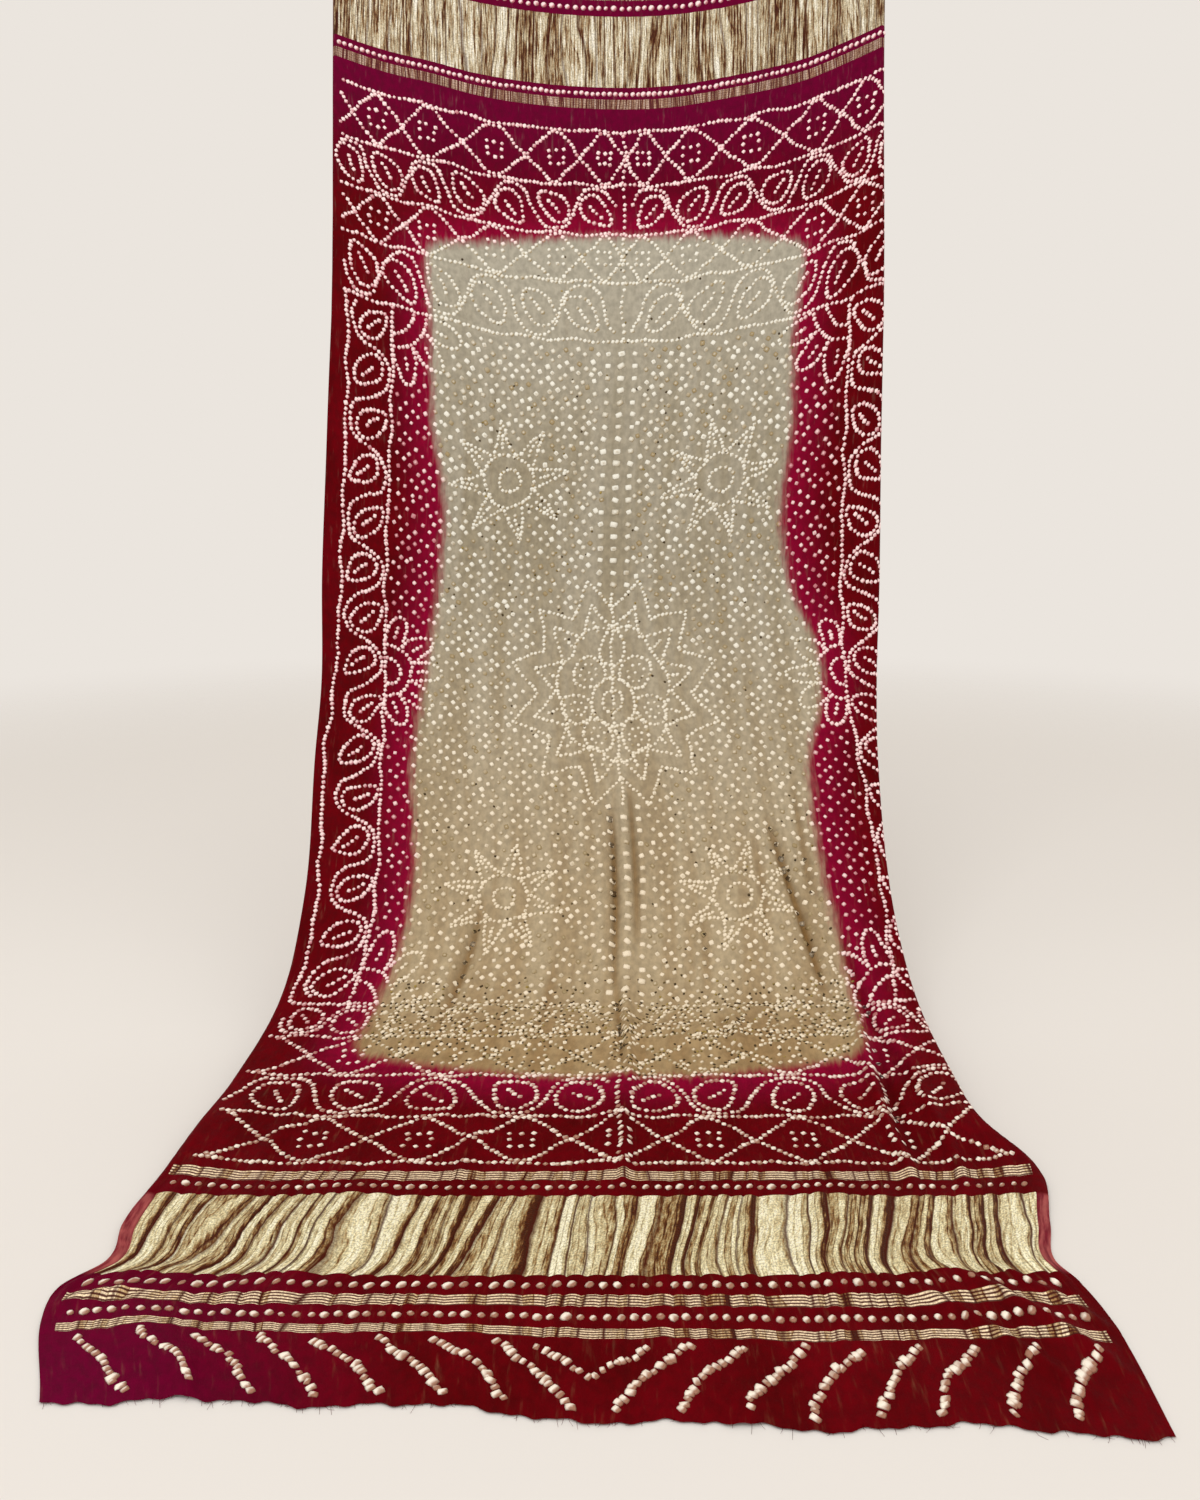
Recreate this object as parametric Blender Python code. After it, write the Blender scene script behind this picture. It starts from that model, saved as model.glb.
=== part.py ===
"""A tie-dyed stole: one woven sheet that hangs from its top edge, curves forward and lies on the floor.

Frame: metres, +Z up. The origin is the middle of the top edge, where the cloth is held. The cloth
faces -Y, +X is to its right as seen from the front, and its lower end runs out along -Y on the floor.
Across is the place over the width, from the middle line; down is the length from the top edge.
"""
import bpy
import numpy as np

for old in list(bpy.data.objects):
    bpy.data.objects.remove(old, do_unlink=True)

HALF_WIDTH = 0.460          # half of the loom width
THICKNESS = 0.002           # crepe with its tied puckers
TURN_RADIUS = 0.006         # inside radius of a side edge that rolls behind
TURN_LIMIT = np.radians(170.0)
LIFT_WIDTH = 0.100          # how far in from the side a rolled edge lifts the cloth off the floor
DYE_RED = (0.155, 0.003, 0.010, 1.0)
WEAVE_ROUGHNESS = 0.55

# The middle line of the cloth, from the held edge to the hem, and how much higher the sides hang.
RUN_COLUMNS = ("forward", "height", "middle", "left_rise", "right_rise")
RUN = (
    ("top edge",      0.000, 1.628, 0.000, 0.085, 0.118),
    ("far stripes",   0.062, 1.291, -0.001, 0.085, 0.118),
    ("far field",     0.123, 0.965, -0.005, 0.088, 0.112),
    ("far stars",     0.158, 0.750, -0.015, 0.062, 0.070),
    ("waist",         0.195, 0.563, -0.020, 0.036, 0.036),
    ("middle flower", 0.258, 0.422, -0.020, 0.022, 0.022),
    ("below flower",  0.322, 0.322, -0.010, 0.014, 0.016),
    ("near stars",    0.448, 0.155, 0.000, 0.010, 0.012),
    ("foot of curve", 0.559, 0.058, -0.006, 0.006, 0.008),
    ("first touch",   0.714, 0.016, -0.018, 0.000, 0.000),
    ("near bands",    0.804, 0.004, -0.018, 0.000, 0.000),
    ("near stripes",  0.874, 0.000, -0.019, 0.000, 0.000),
    ("gold band",     0.965, 0.000, -0.030, 0.000, 0.000),
    ("band end",      1.022, 0.000, -0.039, 0.000, 0.000),
    ("end rows",      1.055, 0.000, -0.042, 0.000, 0.000),
    ("end border",    1.100, 0.000, -0.045, 0.000, 0.000),
    ("hem",           1.201, 0.000, -0.047, 0.000, 0.000),
)

# The sides at the same places: how far each outline stands from the middle line, how wide a strip
# is rolled behind it, and how far that roll lifts the side off the floor.
SIDE_COLUMNS = ("left_reach", "right_reach", "left_turned", "right_turned", "left_lift", "right_lift")
SIDES = (
    ("top edge",      0.460, 0.412, 0.018, 0.056, 0.000, 0.000),
    ("far stripes",   0.460, 0.408, 0.018, 0.058, 0.000, 0.000),
    ("far field",     0.457, 0.412, 0.011, 0.053, 0.000, 0.000),
    ("far stars",     0.456, 0.420, 0.000, 0.048, 0.000, 0.000),
    ("waist",         0.459, 0.423, 0.000, 0.045, 0.000, 0.000),
    ("middle flower", 0.451, 0.410, 0.000, 0.058, 0.000, 0.000),
    ("below flower",  0.460, 0.391, 0.000, 0.077, 0.000, 0.000),
    ("near stars",    0.460, 0.376, 0.000, 0.092, 0.000, 0.000),
    ("foot of curve", 0.461, 0.388, 0.012, 0.080, 0.000, 0.004),
    ("first touch",   0.468, 0.405, 0.020, 0.059, 0.004, 0.014),
    ("near bands",    0.477, 0.410, 0.018, 0.046, 0.013, 0.019),
    ("near stripes",  0.484, 0.446, 0.010, 0.010, 0.009, 0.009),
    ("gold band",     0.480, 0.434, 0.000, 0.000, 0.000, 0.000),
    ("band end",      0.463, 0.425, 0.000, 0.000, 0.000, 0.000),
    ("end rows",      0.487, 0.440, 0.000, 0.000, 0.000, 0.000),
    ("end border",    0.480, 0.449, 0.000, 0.000, 0.000, 0.000),
    ("hem",           0.434, 0.443, 0.000, 0.000, 0.000, 0.000),
)

# Main folds: each runs straight from one place on the cloth to another. A ridge is positive and
# stands to the front; a trough is negative and only sinks where the cloth is clear of the floor.
FOLD_COLUMNS = ("across_from", "down_from", "across_to", "down_to", "half_width", "height")
FOLDS = (
    ("middle crease",      0.000, 1.36, -0.004, 2.06, 0.020, 0.007),
    ("beside the crease",  0.040, 1.40, 0.038, 1.80, 0.022, -0.005),
    ("right trough",       0.225, 1.47, 0.300, 1.76, 0.030, -0.008),
    ("right ridge",        0.275, 1.42, 0.345, 1.74, 0.026, 0.006),
    ("left trough",        -0.215, 1.56, -0.250, 1.78, 0.032, -0.007),
    ("left hang ridge",    -0.300, 0.10, -0.285, 1.30, 0.048, 0.009),
    ("left hang trough",   -0.170, 0.30, -0.190, 1.35, 0.055, -0.008),
    ("right hang ridge",   0.160, 0.20, 0.150, 1.30, 0.060, 0.007),
    ("right hang trough",  0.290, 0.10, 0.280, 1.25, 0.048, -0.007),
    ("slack ridge",        -0.330, 1.77, 0.330, 1.79, 0.030, 0.006),
    ("right corner fold",  0.300, 2.17, 0.440, 2.30, 0.030, 0.007),
    ("right edge fold",    0.400, 2.13, 0.450, 2.22, 0.026, 0.005),
    ("left corner fold",   -0.450, 2.24, -0.350, 2.21, 0.030, 0.004),
    ("left hem fold",      -0.400, 2.24, -0.340, 2.34, 0.032, 0.007),
    ("gold band left",     -0.250, 2.05, -0.285, 2.24, 0.034, 0.005),
    ("gold band right",    0.215, 2.05, 0.250, 2.24, 0.034, 0.005),
)

# The raw hem slants and waves: each wave has its number over the width, its height and its start.
HEM_SLANT = 0.045
HEM_WAVES = ((1.7, 0.0040, 0.6), (4.3, 0.0035, 2.1))
HEM_REACH = 0.16            # length of cloth over which the slant fades out

# Mesh columns over the width: runs of even spacing, closer where an edge rolls or a crease stands.
COLUMN_RUNS = ((-0.460, 3), (-0.436, 11), (-0.045, 4), (0.045, 8), (0.336, 14))
ROWS = 56


def smooth(knots, values, at):
    """Cubic curve through (knots, values): each inner slope is the mean of its neighbours'."""
    steps = np.diff(knots)
    slopes = np.diff(values) / steps
    tangents = np.concatenate((slopes[:1], slopes, slopes[-1:]))
    tangents = (tangents[1:] + tangents[:-1]) / 2.0
    cell = np.clip(np.searchsorted(knots, at, side="right") - 1, 0, len(steps) - 1)
    t = (at - knots[cell]) / steps[cell]
    hermite_start = (1.0 + 2.0 * t) * (1.0 - t) ** 2 * values[cell]
    hermite_end = t * t * (3.0 - 2.0 * t) * values[cell + 1]
    leave = t * (1.0 - t) ** 2 * tangents[cell]
    arrive = t * t * (t - 1.0) * tangents[cell + 1]
    return hermite_start + hermite_end + steps[cell] * (leave + arrive)


def read_columns(names, rows):
    """Turns a table of named rows into one array for each named column."""
    values = np.array([row[1:] for row in rows])
    return {name: values[:, index] for index, name in enumerate(names)}


run = read_columns(RUN_COLUMNS, RUN)
sides = read_columns(SIDE_COLUMNS, SIDES)
HANG = run["height"][0]     # height of the held edge above the floor
FINE_STEPS = 2400

# Chord length places the knots; arc length is then summed along the finely drawn curve.
knots = np.concatenate(([0.0], np.cumsum(np.hypot(np.diff(run["forward"]), np.diff(run["height"])))))
fine = np.linspace(0.0, knots[-1], FINE_STEPS)
fine_forward = smooth(knots, run["forward"], fine)
fine_height = np.maximum(smooth(knots, run["height"], fine), 0.0)
arc = np.concatenate(([0.0], np.cumsum(np.hypot(np.diff(fine_forward), np.diff(fine_height)))))
LENGTH = arc[-1]


def ease(value):
    """Smooth step: 0 below 0, 1 above 1, with level ends."""
    t = np.clip(value, 0.0, 1.0)
    return t * t * (3.0 - 2.0 * t)


def fold_height(across, down):
    """Sum of bell-shaped ridges, each as far as the nearest point of its line, faded at its ends."""
    total = np.zeros_like(across)
    for name, across_from, down_from, across_to, down_to, half_width, height in FOLDS:
        line_across = across_to - across_from
        line_down = down_to - down_from
        length_squared = line_across ** 2 + line_down ** 2
        along = ((across - across_from) * line_across + (down - down_from) * line_down) / length_squared
        nearest = np.clip(along, 0.0, 1.0)
        off_across = across - across_from - nearest * line_across
        off_down = down - down_from - nearest * line_down
        distance_squared = off_across ** 2 + off_down ** 2
        fade = np.sin(np.pi * nearest) ** 0.5
        total = total + height * fade * np.exp(-distance_squared / half_width ** 2)
    return total


def cloth_back(across, down):
    """Back face of the cloth at (across, down).

    The middle line gives the place along the run. A side beyond its flat width follows an arc of the
    turn radius behind the sheet and then a straight tail. Folds push along the face's own normal.
    """
    place = np.interp(down, arc, fine)
    nudge = fine[1]
    before = np.clip(place - nudge, 0.0, knots[-1])
    after = np.clip(place + nudge, 0.0, knots[-1])
    step_forward = smooth(knots, run["forward"], after) - smooth(knots, run["forward"], before)
    height_after = np.maximum(smooth(knots, run["height"], after), 0.0)
    height_before = np.maximum(smooth(knots, run["height"], before), 0.0)
    step_height = height_after - height_before
    step_length = np.hypot(step_forward, step_height)
    front_forward = -step_height / step_length
    front_up = step_forward / step_length

    here = {name: smooth(knots, run[name], place) for name in RUN_COLUMNS}
    edge = {name: smooth(knots, sides[name], place) for name in SIDE_COLUMNS}
    left = across < 0.0
    reach = np.where(left, edge["left_reach"], edge["right_reach"])
    turned = np.maximum(np.where(left, edge["left_turned"], edge["right_turned"]), 0.0)
    lift = np.maximum(np.where(left, edge["left_lift"], edge["right_lift"]), 0.0)
    rise = np.where(left, here["left_rise"], here["right_rise"])

    flat = HALF_WIDTH - turned
    bulge = TURN_RADIUS * np.sin(np.minimum(turned / TURN_RADIUS, np.pi / 2.0))
    out = np.abs(across)
    inside = np.minimum(out, flat)
    past = np.maximum(out - flat, 0.0)
    angle = np.minimum(past / TURN_RADIUS, TURN_LIMIT)
    tail = np.maximum(past - TURN_RADIUS * TURN_LIMIT, 0.0)
    sideways = inside / flat * (reach - bulge) + TURN_RADIUS * np.sin(angle) + tail * np.cos(angle)
    behind = TURN_RADIUS * (1.0 - np.cos(angle)) + tail * np.sin(angle)

    height = np.maximum(here["height"], 0.0)
    lifted = lift * ease((sideways - reach + LIFT_WIDTH) / LIFT_WIDTH)
    folds = fold_height(across, down) * ease((flat - out) / TURN_RADIUS + 1.0)
    folds = np.maximum(folds, -0.5 * (height + lifted))
    outward = folds - behind
    x = here["middle"] + np.where(left, -sideways, sideways)
    y = -here["forward"] - front_forward * outward
    z = height - HANG + lifted + front_up * outward + rise * (inside / HALF_WIDTH) ** 2
    return np.stack((x, y, z), axis=-1)


def hem_offset(across):
    """How much longer or shorter the cloth is at this place over the width: a slant and two waves."""
    offset = HEM_SLANT * across
    for number, height, start in HEM_WAVES:
        offset = offset + height * np.sin(np.pi * number * across / HALF_WIDTH + start)
    return offset


def cloth_grid():
    """Places of the mesh's columns and rows, as two arrays of (rows, columns)."""
    starts = [start for start, count in COLUMN_RUNS] + [HALF_WIDTH]
    pieces = [
        np.linspace(starts[index], starts[index + 1], count, endpoint=False)
        for index, (start, count) in enumerate(COLUMN_RUNS)
    ]
    columns = np.concatenate(pieces + [np.array([HALF_WIDTH])])
    rows = np.linspace(0.0, LENGTH, ROWS + 1)
    across, down = np.meshgrid(columns, rows)
    near_hem = ease((down - LENGTH + HEM_REACH) / HEM_REACH)
    return across, down, hem_offset(across) * near_hem


def grid_faces(row_count, column_count):
    """Quads of a grid of points, wound so that they face the front of the cloth."""
    index = np.arange(row_count * column_count).reshape(row_count, column_count)
    corners = (index[:-1, :-1], index[1:, :-1], index[1:, 1:], index[:-1, 1:])
    return np.stack(corners, axis=-1).reshape(-1, 4)


def make_cloth():
    """One sheet: its back face is worked out on a grid, and Solidify gives it its thickness."""
    across, down, hem = cloth_grid()
    points = cloth_back(across, down)
    points[..., 1] -= hem
    mesh = bpy.data.meshes.new("cloth")
    mesh.from_pydata(points.reshape(-1, 3).tolist(), [], grid_faces(*across.shape).tolist())
    mesh.shade_smooth()
    cloth = bpy.data.objects.new("cloth", mesh)
    bpy.context.scene.collection.objects.link(cloth)
    solid = cloth.modifiers.new("thickness", "SOLIDIFY")
    solid.thickness = THICKNESS
    solid.offset = 1.0
    return cloth


def dyed_crepe():
    """Plain red dyed crepe."""
    material = bpy.data.materials.new("dyed_crepe")
    material.use_nodes = True
    shader = material.node_tree.nodes["Principled BSDF"]
    shader.inputs["Base Color"].default_value = DYE_RED
    shader.inputs["Roughness"].default_value = WEAVE_ROUGHNESS
    shader.inputs["Metallic"].default_value = 0.0
    return material


cloth = make_cloth()
cloth.data.materials.append(dyed_crepe())
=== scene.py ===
"""Looks of a bandhani stole: a tied and dyed crepe cloth with woven gold stripes across both ends.

It hangs from its top edge, curves forward and lies on the floor. Lengths are in metres. Places on
the cloth are given as across, from the middle line to the right, and down, from the top edge.
"""

import bpy
import numpy as np
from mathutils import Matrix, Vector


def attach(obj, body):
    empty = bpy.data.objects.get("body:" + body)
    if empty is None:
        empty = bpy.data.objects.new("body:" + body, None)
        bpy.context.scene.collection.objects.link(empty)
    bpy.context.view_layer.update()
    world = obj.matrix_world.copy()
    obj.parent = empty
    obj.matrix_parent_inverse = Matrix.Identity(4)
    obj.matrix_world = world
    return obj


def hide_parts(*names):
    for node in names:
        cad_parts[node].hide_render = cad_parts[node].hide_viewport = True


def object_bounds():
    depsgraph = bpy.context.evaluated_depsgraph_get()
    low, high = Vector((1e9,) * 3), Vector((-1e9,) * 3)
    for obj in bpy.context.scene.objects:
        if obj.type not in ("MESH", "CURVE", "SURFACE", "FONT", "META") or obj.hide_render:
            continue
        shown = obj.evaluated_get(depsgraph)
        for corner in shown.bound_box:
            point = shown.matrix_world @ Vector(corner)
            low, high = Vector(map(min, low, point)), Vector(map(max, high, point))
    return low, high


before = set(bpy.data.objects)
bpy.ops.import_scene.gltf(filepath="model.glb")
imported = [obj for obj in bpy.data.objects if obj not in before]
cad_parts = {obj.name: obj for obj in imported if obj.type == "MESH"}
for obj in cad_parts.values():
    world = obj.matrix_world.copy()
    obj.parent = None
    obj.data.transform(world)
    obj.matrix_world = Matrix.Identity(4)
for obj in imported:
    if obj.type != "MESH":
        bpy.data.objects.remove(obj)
cad_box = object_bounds()

# ------------------------------------------------------------------------------------------------
# The view. The eye stands in front of the lower end, a little above knee height, and looks
# slightly down, so the cloth rises ahead and its end runs out toward the viewer.
# ------------------------------------------------------------------------------------------------
FLOOR = cad_box[0].z
EYE_HEIGHT = 0.680
EYE_BACK = 1.934
EYE_ACROSS = -0.040
EYE_PITCH = np.radians(10.5)
LENS = 26.2e-3
SENSOR = 36.0e-3
MILLIMETRES = 1000.0
VIEW_SHIFT = -0.015

camera_data = bpy.data.cameras.new("camera")
camera_data.sensor_width = SENSOR * MILLIMETRES
camera_data.lens = LENS * MILLIMETRES
camera_data.shift_y = VIEW_SHIFT
camera = bpy.data.objects.new("camera", camera_data)
camera.location = (EYE_ACROSS, -EYE_BACK, FLOOR + EYE_HEIGHT)
camera.rotation_euler = (np.pi / 2.0 - EYE_PITCH, 0.0, 0.0)
bpy.context.scene.collection.objects.link(camera)
bpy.context.scene.camera = camera

# ------------------------------------------------------------------------------------------------
# The cloth. One loom width of fine silk crepe, 0.92 m wide and 2.36 m long, with plain selvedges and
# raw ends. The tables repeat the solid's drape: the middle line's run, the sides and the main folds.
# ------------------------------------------------------------------------------------------------
HALF_WIDTH = 0.460
HALF_THICKNESS = 0.001
TURN_RADIUS = 0.006
TURN_LIMIT = np.radians(170.0)
LIFT_WIDTH = 0.100

RUN_COLUMNS = ("forward", "height", "middle", "left_rise", "right_rise")
RUN = (
    ("top edge",      0.000, 1.628, 0.000, 0.085, 0.118),
    ("far stripes",   0.062, 1.291, -0.001, 0.085, 0.118),
    ("far field",     0.123, 0.965, -0.005, 0.088, 0.112),
    ("far stars",     0.158, 0.750, -0.015, 0.062, 0.070),
    ("waist",         0.195, 0.563, -0.020, 0.036, 0.036),
    ("middle flower", 0.258, 0.422, -0.020, 0.022, 0.022),
    ("below flower",  0.322, 0.322, -0.010, 0.014, 0.016),
    ("near stars",    0.448, 0.155, 0.000, 0.010, 0.012),
    ("foot of curve", 0.559, 0.058, -0.006, 0.006, 0.008),
    ("first touch",   0.714, 0.016, -0.018, 0.000, 0.000),
    ("near bands",    0.804, 0.004, -0.018, 0.000, 0.000),
    ("near stripes",  0.874, 0.000, -0.019, 0.000, 0.000),
    ("gold band",     0.965, 0.000, -0.030, 0.000, 0.000),
    ("band end",      1.022, 0.000, -0.039, 0.000, 0.000),
    ("end rows",      1.055, 0.000, -0.042, 0.000, 0.000),
    ("end border",    1.100, 0.000, -0.045, 0.000, 0.000),
    ("hem",           1.201, 0.000, -0.047, 0.000, 0.000),
)
SIDE_COLUMNS = ("left_reach", "right_reach", "left_turned", "right_turned", "left_lift", "right_lift")
SIDES = (
    ("top edge",      0.460, 0.412, 0.018, 0.056, 0.000, 0.000),
    ("far stripes",   0.460, 0.408, 0.018, 0.058, 0.000, 0.000),
    ("far field",     0.457, 0.412, 0.011, 0.053, 0.000, 0.000),
    ("far stars",     0.456, 0.420, 0.000, 0.048, 0.000, 0.000),
    ("waist",         0.459, 0.423, 0.000, 0.045, 0.000, 0.000),
    ("middle flower", 0.451, 0.410, 0.000, 0.058, 0.000, 0.000),
    ("below flower",  0.460, 0.391, 0.000, 0.077, 0.000, 0.000),
    ("near stars",    0.460, 0.376, 0.000, 0.092, 0.000, 0.000),
    ("foot of curve", 0.461, 0.388, 0.012, 0.080, 0.000, 0.004),
    ("first touch",   0.468, 0.405, 0.020, 0.059, 0.004, 0.014),
    ("near bands",    0.477, 0.410, 0.018, 0.046, 0.013, 0.019),
    ("near stripes",  0.484, 0.446, 0.010, 0.010, 0.009, 0.009),
    ("gold band",     0.480, 0.434, 0.000, 0.000, 0.000, 0.000),
    ("band end",      0.463, 0.425, 0.000, 0.000, 0.000, 0.000),
    ("end rows",      0.487, 0.440, 0.000, 0.000, 0.000, 0.000),
    ("end border",    0.480, 0.449, 0.000, 0.000, 0.000, 0.000),
    ("hem",           0.434, 0.443, 0.000, 0.000, 0.000, 0.000),
)
# Each fold runs from one place, across and down, to another, with its half width and its height.
FOLDS = (
    ("middle crease",      0.000, 1.36, -0.004, 2.06, 0.020, 0.007),
    ("beside the crease",  0.040, 1.40, 0.038, 1.80, 0.022, -0.005),
    ("right trough",       0.225, 1.47, 0.300, 1.76, 0.030, -0.008),
    ("right ridge",        0.275, 1.42, 0.345, 1.74, 0.026, 0.006),
    ("left trough",        -0.215, 1.56, -0.250, 1.78, 0.032, -0.007),
    ("left hang ridge",    -0.300, 0.10, -0.285, 1.30, 0.048, 0.009),
    ("left hang trough",   -0.170, 0.30, -0.190, 1.35, 0.055, -0.008),
    ("right hang ridge",   0.160, 0.20, 0.150, 1.30, 0.060, 0.007),
    ("right hang trough",  0.290, 0.10, 0.280, 1.25, 0.048, -0.007),
    ("slack ridge",        -0.330, 1.77, 0.330, 1.79, 0.030, 0.006),
    ("right corner fold",  0.300, 2.17, 0.440, 2.30, 0.030, 0.007),
    ("right edge fold",    0.400, 2.13, 0.450, 2.22, 0.026, 0.005),
    ("left corner fold",   -0.450, 2.24, -0.350, 2.21, 0.030, 0.004),
    ("left hem fold",      -0.400, 2.24, -0.340, 2.34, 0.032, 0.007),
    ("gold band left",     -0.250, 2.05, -0.285, 2.24, 0.034, 0.005),
    ("gold band right",    0.215, 2.05, 0.250, 2.24, 0.034, 0.005),
)
# Small creases that the plain solid is too coarse for, in the same columns.
CREASES = (
    ("middle ridge",        -0.004, 1.34, -0.003, 1.70, 0.0085, 0.0060),
    ("left furrow",         -0.019, 1.42, -0.017, 1.70, 0.0060, -0.0085),
    ("left furrow lip",     -0.030, 1.42, -0.028, 1.72, 0.0080, 0.0045),
    ("right furrow",        0.010, 1.38, 0.013, 1.64, 0.0050, -0.0070),
    ("right furrow lip",    0.022, 1.38, 0.026, 1.70, 0.0090, 0.0040),
    ("crossing furrow",     -0.016, 1.67, 0.009, 1.88, 0.0052, -0.0060),
    ("crossing ridge",      -0.004, 1.68, 0.020, 1.92, 0.0070, 0.0080),
    ("band crease",         0.006, 1.84, 0.004, 2.08, 0.0060, 0.0060),
    ("right tuck",          0.186, 1.46, 0.196, 1.60, 0.0070, -0.0040),
    ("right long tuck",     0.208, 1.44, 0.272, 1.72, 0.0060, -0.0085),
    ("right long lip",      0.222, 1.44, 0.288, 1.72, 0.0080, 0.0060),
    ("right high tuck",     0.252, 1.38, 0.262, 1.58, 0.0060, -0.0045),
    ("right low tuck",      0.122, 1.72, 0.142, 1.84, 0.0065, -0.0034),
    ("right low lip",       0.134, 1.72, 0.156, 1.84, 0.0065, 0.0045),
    ("right middle tuck",   0.104, 1.58, 0.112, 1.72, 0.0060, -0.0035),
    ("far right tuck",      0.292, 1.62, 0.352, 1.88, 0.0070, -0.0065),
    ("left tuck",           -0.206, 1.56, -0.236, 1.76, 0.0065, -0.0065),
    ("left tuck lip",       -0.220, 1.56, -0.252, 1.76, 0.0075, 0.0045),
    ("left low tuck",       -0.098, 1.66, -0.110, 1.80, 0.0060, -0.0040),
    ("slack one",           -0.250, 1.735, -0.040, 1.750, 0.0070, 0.0035),
    ("slack two",           0.040, 1.745, 0.280, 1.735, 0.0070, 0.0035),
    ("slack three",         -0.200, 1.772, 0.120, 1.778, 0.0060, 0.0030),
    ("slack four",          -0.280, 1.806, -0.060, 1.800, 0.0060, 0.0025),
    ("slack five",          0.080, 1.802, 0.300, 1.812, 0.0060, 0.0025),
    ("right band ridge",    0.300, 1.72, 0.318, 2.07, 0.0095, 0.0110),
    ("right band dip",      0.318, 1.76, 0.334, 2.03, 0.0085, -0.0060),
    ("right border ridge",  0.358, 1.84, 0.376, 2.08, 0.0085, 0.0070),
    ("left band ridge",     -0.150, 1.90, -0.160, 2.06, 0.0100, 0.0040),
    ("left border ridge",   -0.340, 1.86, -0.372, 2.04, 0.0100, 0.0045),
    ("corner pleat one",    0.330, 2.19, 0.452, 2.31, 0.0070, 0.0050),
    ("corner pleat two",    0.370, 2.17, 0.458, 2.27, 0.0065, 0.0045),
    ("corner pleat three",  0.290, 2.21, 0.420, 2.34, 0.0070, 0.0050),
    ("left pleat one",      -0.458, 2.215, -0.360, 2.190, 0.0060, 0.0030),
    ("left pleat two",      -0.455, 2.245, -0.380, 2.222, 0.0060, 0.0050),
    ("hem lift left",       -0.345, 2.31, -0.340, 2.365, 0.0120, 0.0060),
    ("hem lift right",      0.120, 2.32, 0.125, 2.365, 0.0140, 0.0045),
)
# Thin wrinkles pressed into the hanging part, in the same columns.
WRINKLES = (
    ("star wrinkle",        -0.200, 0.884, -0.030, 0.900, 0.0030, -0.0016),
    ("long wrinkle",        -0.120, 0.930, -0.070, 1.010, 0.0026, -0.0012),
    ("upright wrinkle one", -0.232, 0.760, -0.246, 1.060, 0.0036, -0.0014),
    ("upright wrinkle two", -0.196, 0.700, -0.203, 0.980, 0.0032, -0.0010),
    ("upright three",       0.066, 0.620, 0.060, 0.900, 0.0034, -0.0010),
    ("upright four",        0.130, 0.560, 0.124, 0.820, 0.0034, -0.0010),
    ("upright five",        -0.090, 0.540, -0.084, 0.760, 0.0034, -0.0010),
    ("low left wrinkle",    -0.060, 1.420, -0.110, 1.560, 0.0034, -0.0014),
)
HEM_SLANT = 0.045
HEM_WAVES = ((1.7, 0.0040, 0.6), (4.3, 0.0035, 2.1))
RAW_WAVES = ((11.0, 0.0014, 0.3), (23.0, 0.0012, 1.9), (47.0, 0.0008, 4.0))
HEM_REACH = 0.16

# Gathers that the stripes' tight metal thread pulls into the cloth: pleats that run down it. A phase
# counts them from the left side, so it is a whole number along each crease between two pleats.
PLEAT_PITCH = 0.0195
PLEAT_HEIGHT = 0.0030
PLEAT_SPACING = ((0.137, 0.34, 1.3), (0.061, 0.15, 4.0))    # length over the width, share, start
PLEAT_WANDER = ((0.210, 0.330, 0.22, 0.9), (0.074, 0.190, 0.08, 2.6))   # lengths, share, start
PLEAT_LEAN = 0.17           # how far the left pleats lean outward on their way down
LEAN_FROM = 1.960           # where that lean begins, at the near lines
PLEAT_SKEW = (0.6, 1.0)     # power that leans a pleat to one side, and how much more it can be
PLEAT_TALLNESS = (0.5, 0.8)     # least share of the height, and how much more it can be
OTHER_DRAW = 57.0           # sets a pleat's tallness apart from its skew
SCRAMBLE = (12.99, 4.1, 4375.9)
PLEAT_ROUND = 2.6           # higher is flatter on top and steeper beside the crease
PLEAT_REACH_COLUMNS = ("down", "strength")
PLEAT_REACH = (
    ("top edge",     0.000, 0.25),
    ("gold band",    0.240, 0.25),
    ("far lines",    0.330, 0.12),
    ("field",        1.200, 0.10),
    ("curve",        1.700, 0.12),
    ("near lines",   1.960, 0.16),
    ("near stripes", 2.050, 0.42),
    ("gold start",   2.095, 0.95),
    ("gold end",     2.195, 0.95),
    ("end rows",     2.250, 0.42),
    ("border",       2.300, 0.12),
    ("hem",          2.364, 0.10),
)


def smooth(knots, values, at):
    """Cubic curve through (knots, values): each inner slope is the mean of its neighbours'."""
    steps = np.diff(knots)
    slopes = np.diff(values) / steps
    tangents = np.concatenate((slopes[:1], slopes, slopes[-1:]))
    tangents = (tangents[1:] + tangents[:-1]) / 2.0
    cell = np.clip(np.searchsorted(knots, at, side="right") - 1, 0, len(steps) - 1)
    t = (at - knots[cell]) / steps[cell]
    hermite_start = (1.0 + 2.0 * t) * (1.0 - t) ** 2 * values[cell]
    hermite_end = t * t * (3.0 - 2.0 * t) * values[cell + 1]
    leave = t * (1.0 - t) ** 2 * tangents[cell]
    arrive = t * t * (t - 1.0) * tangents[cell + 1]
    return hermite_start + hermite_end + steps[cell] * (leave + arrive)


def read_columns(names, rows):
    """Turns a table of named rows into one array for each named column."""
    values = np.array([row[1:] for row in rows])
    return {name: values[:, index] for index, name in enumerate(names)}


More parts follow.
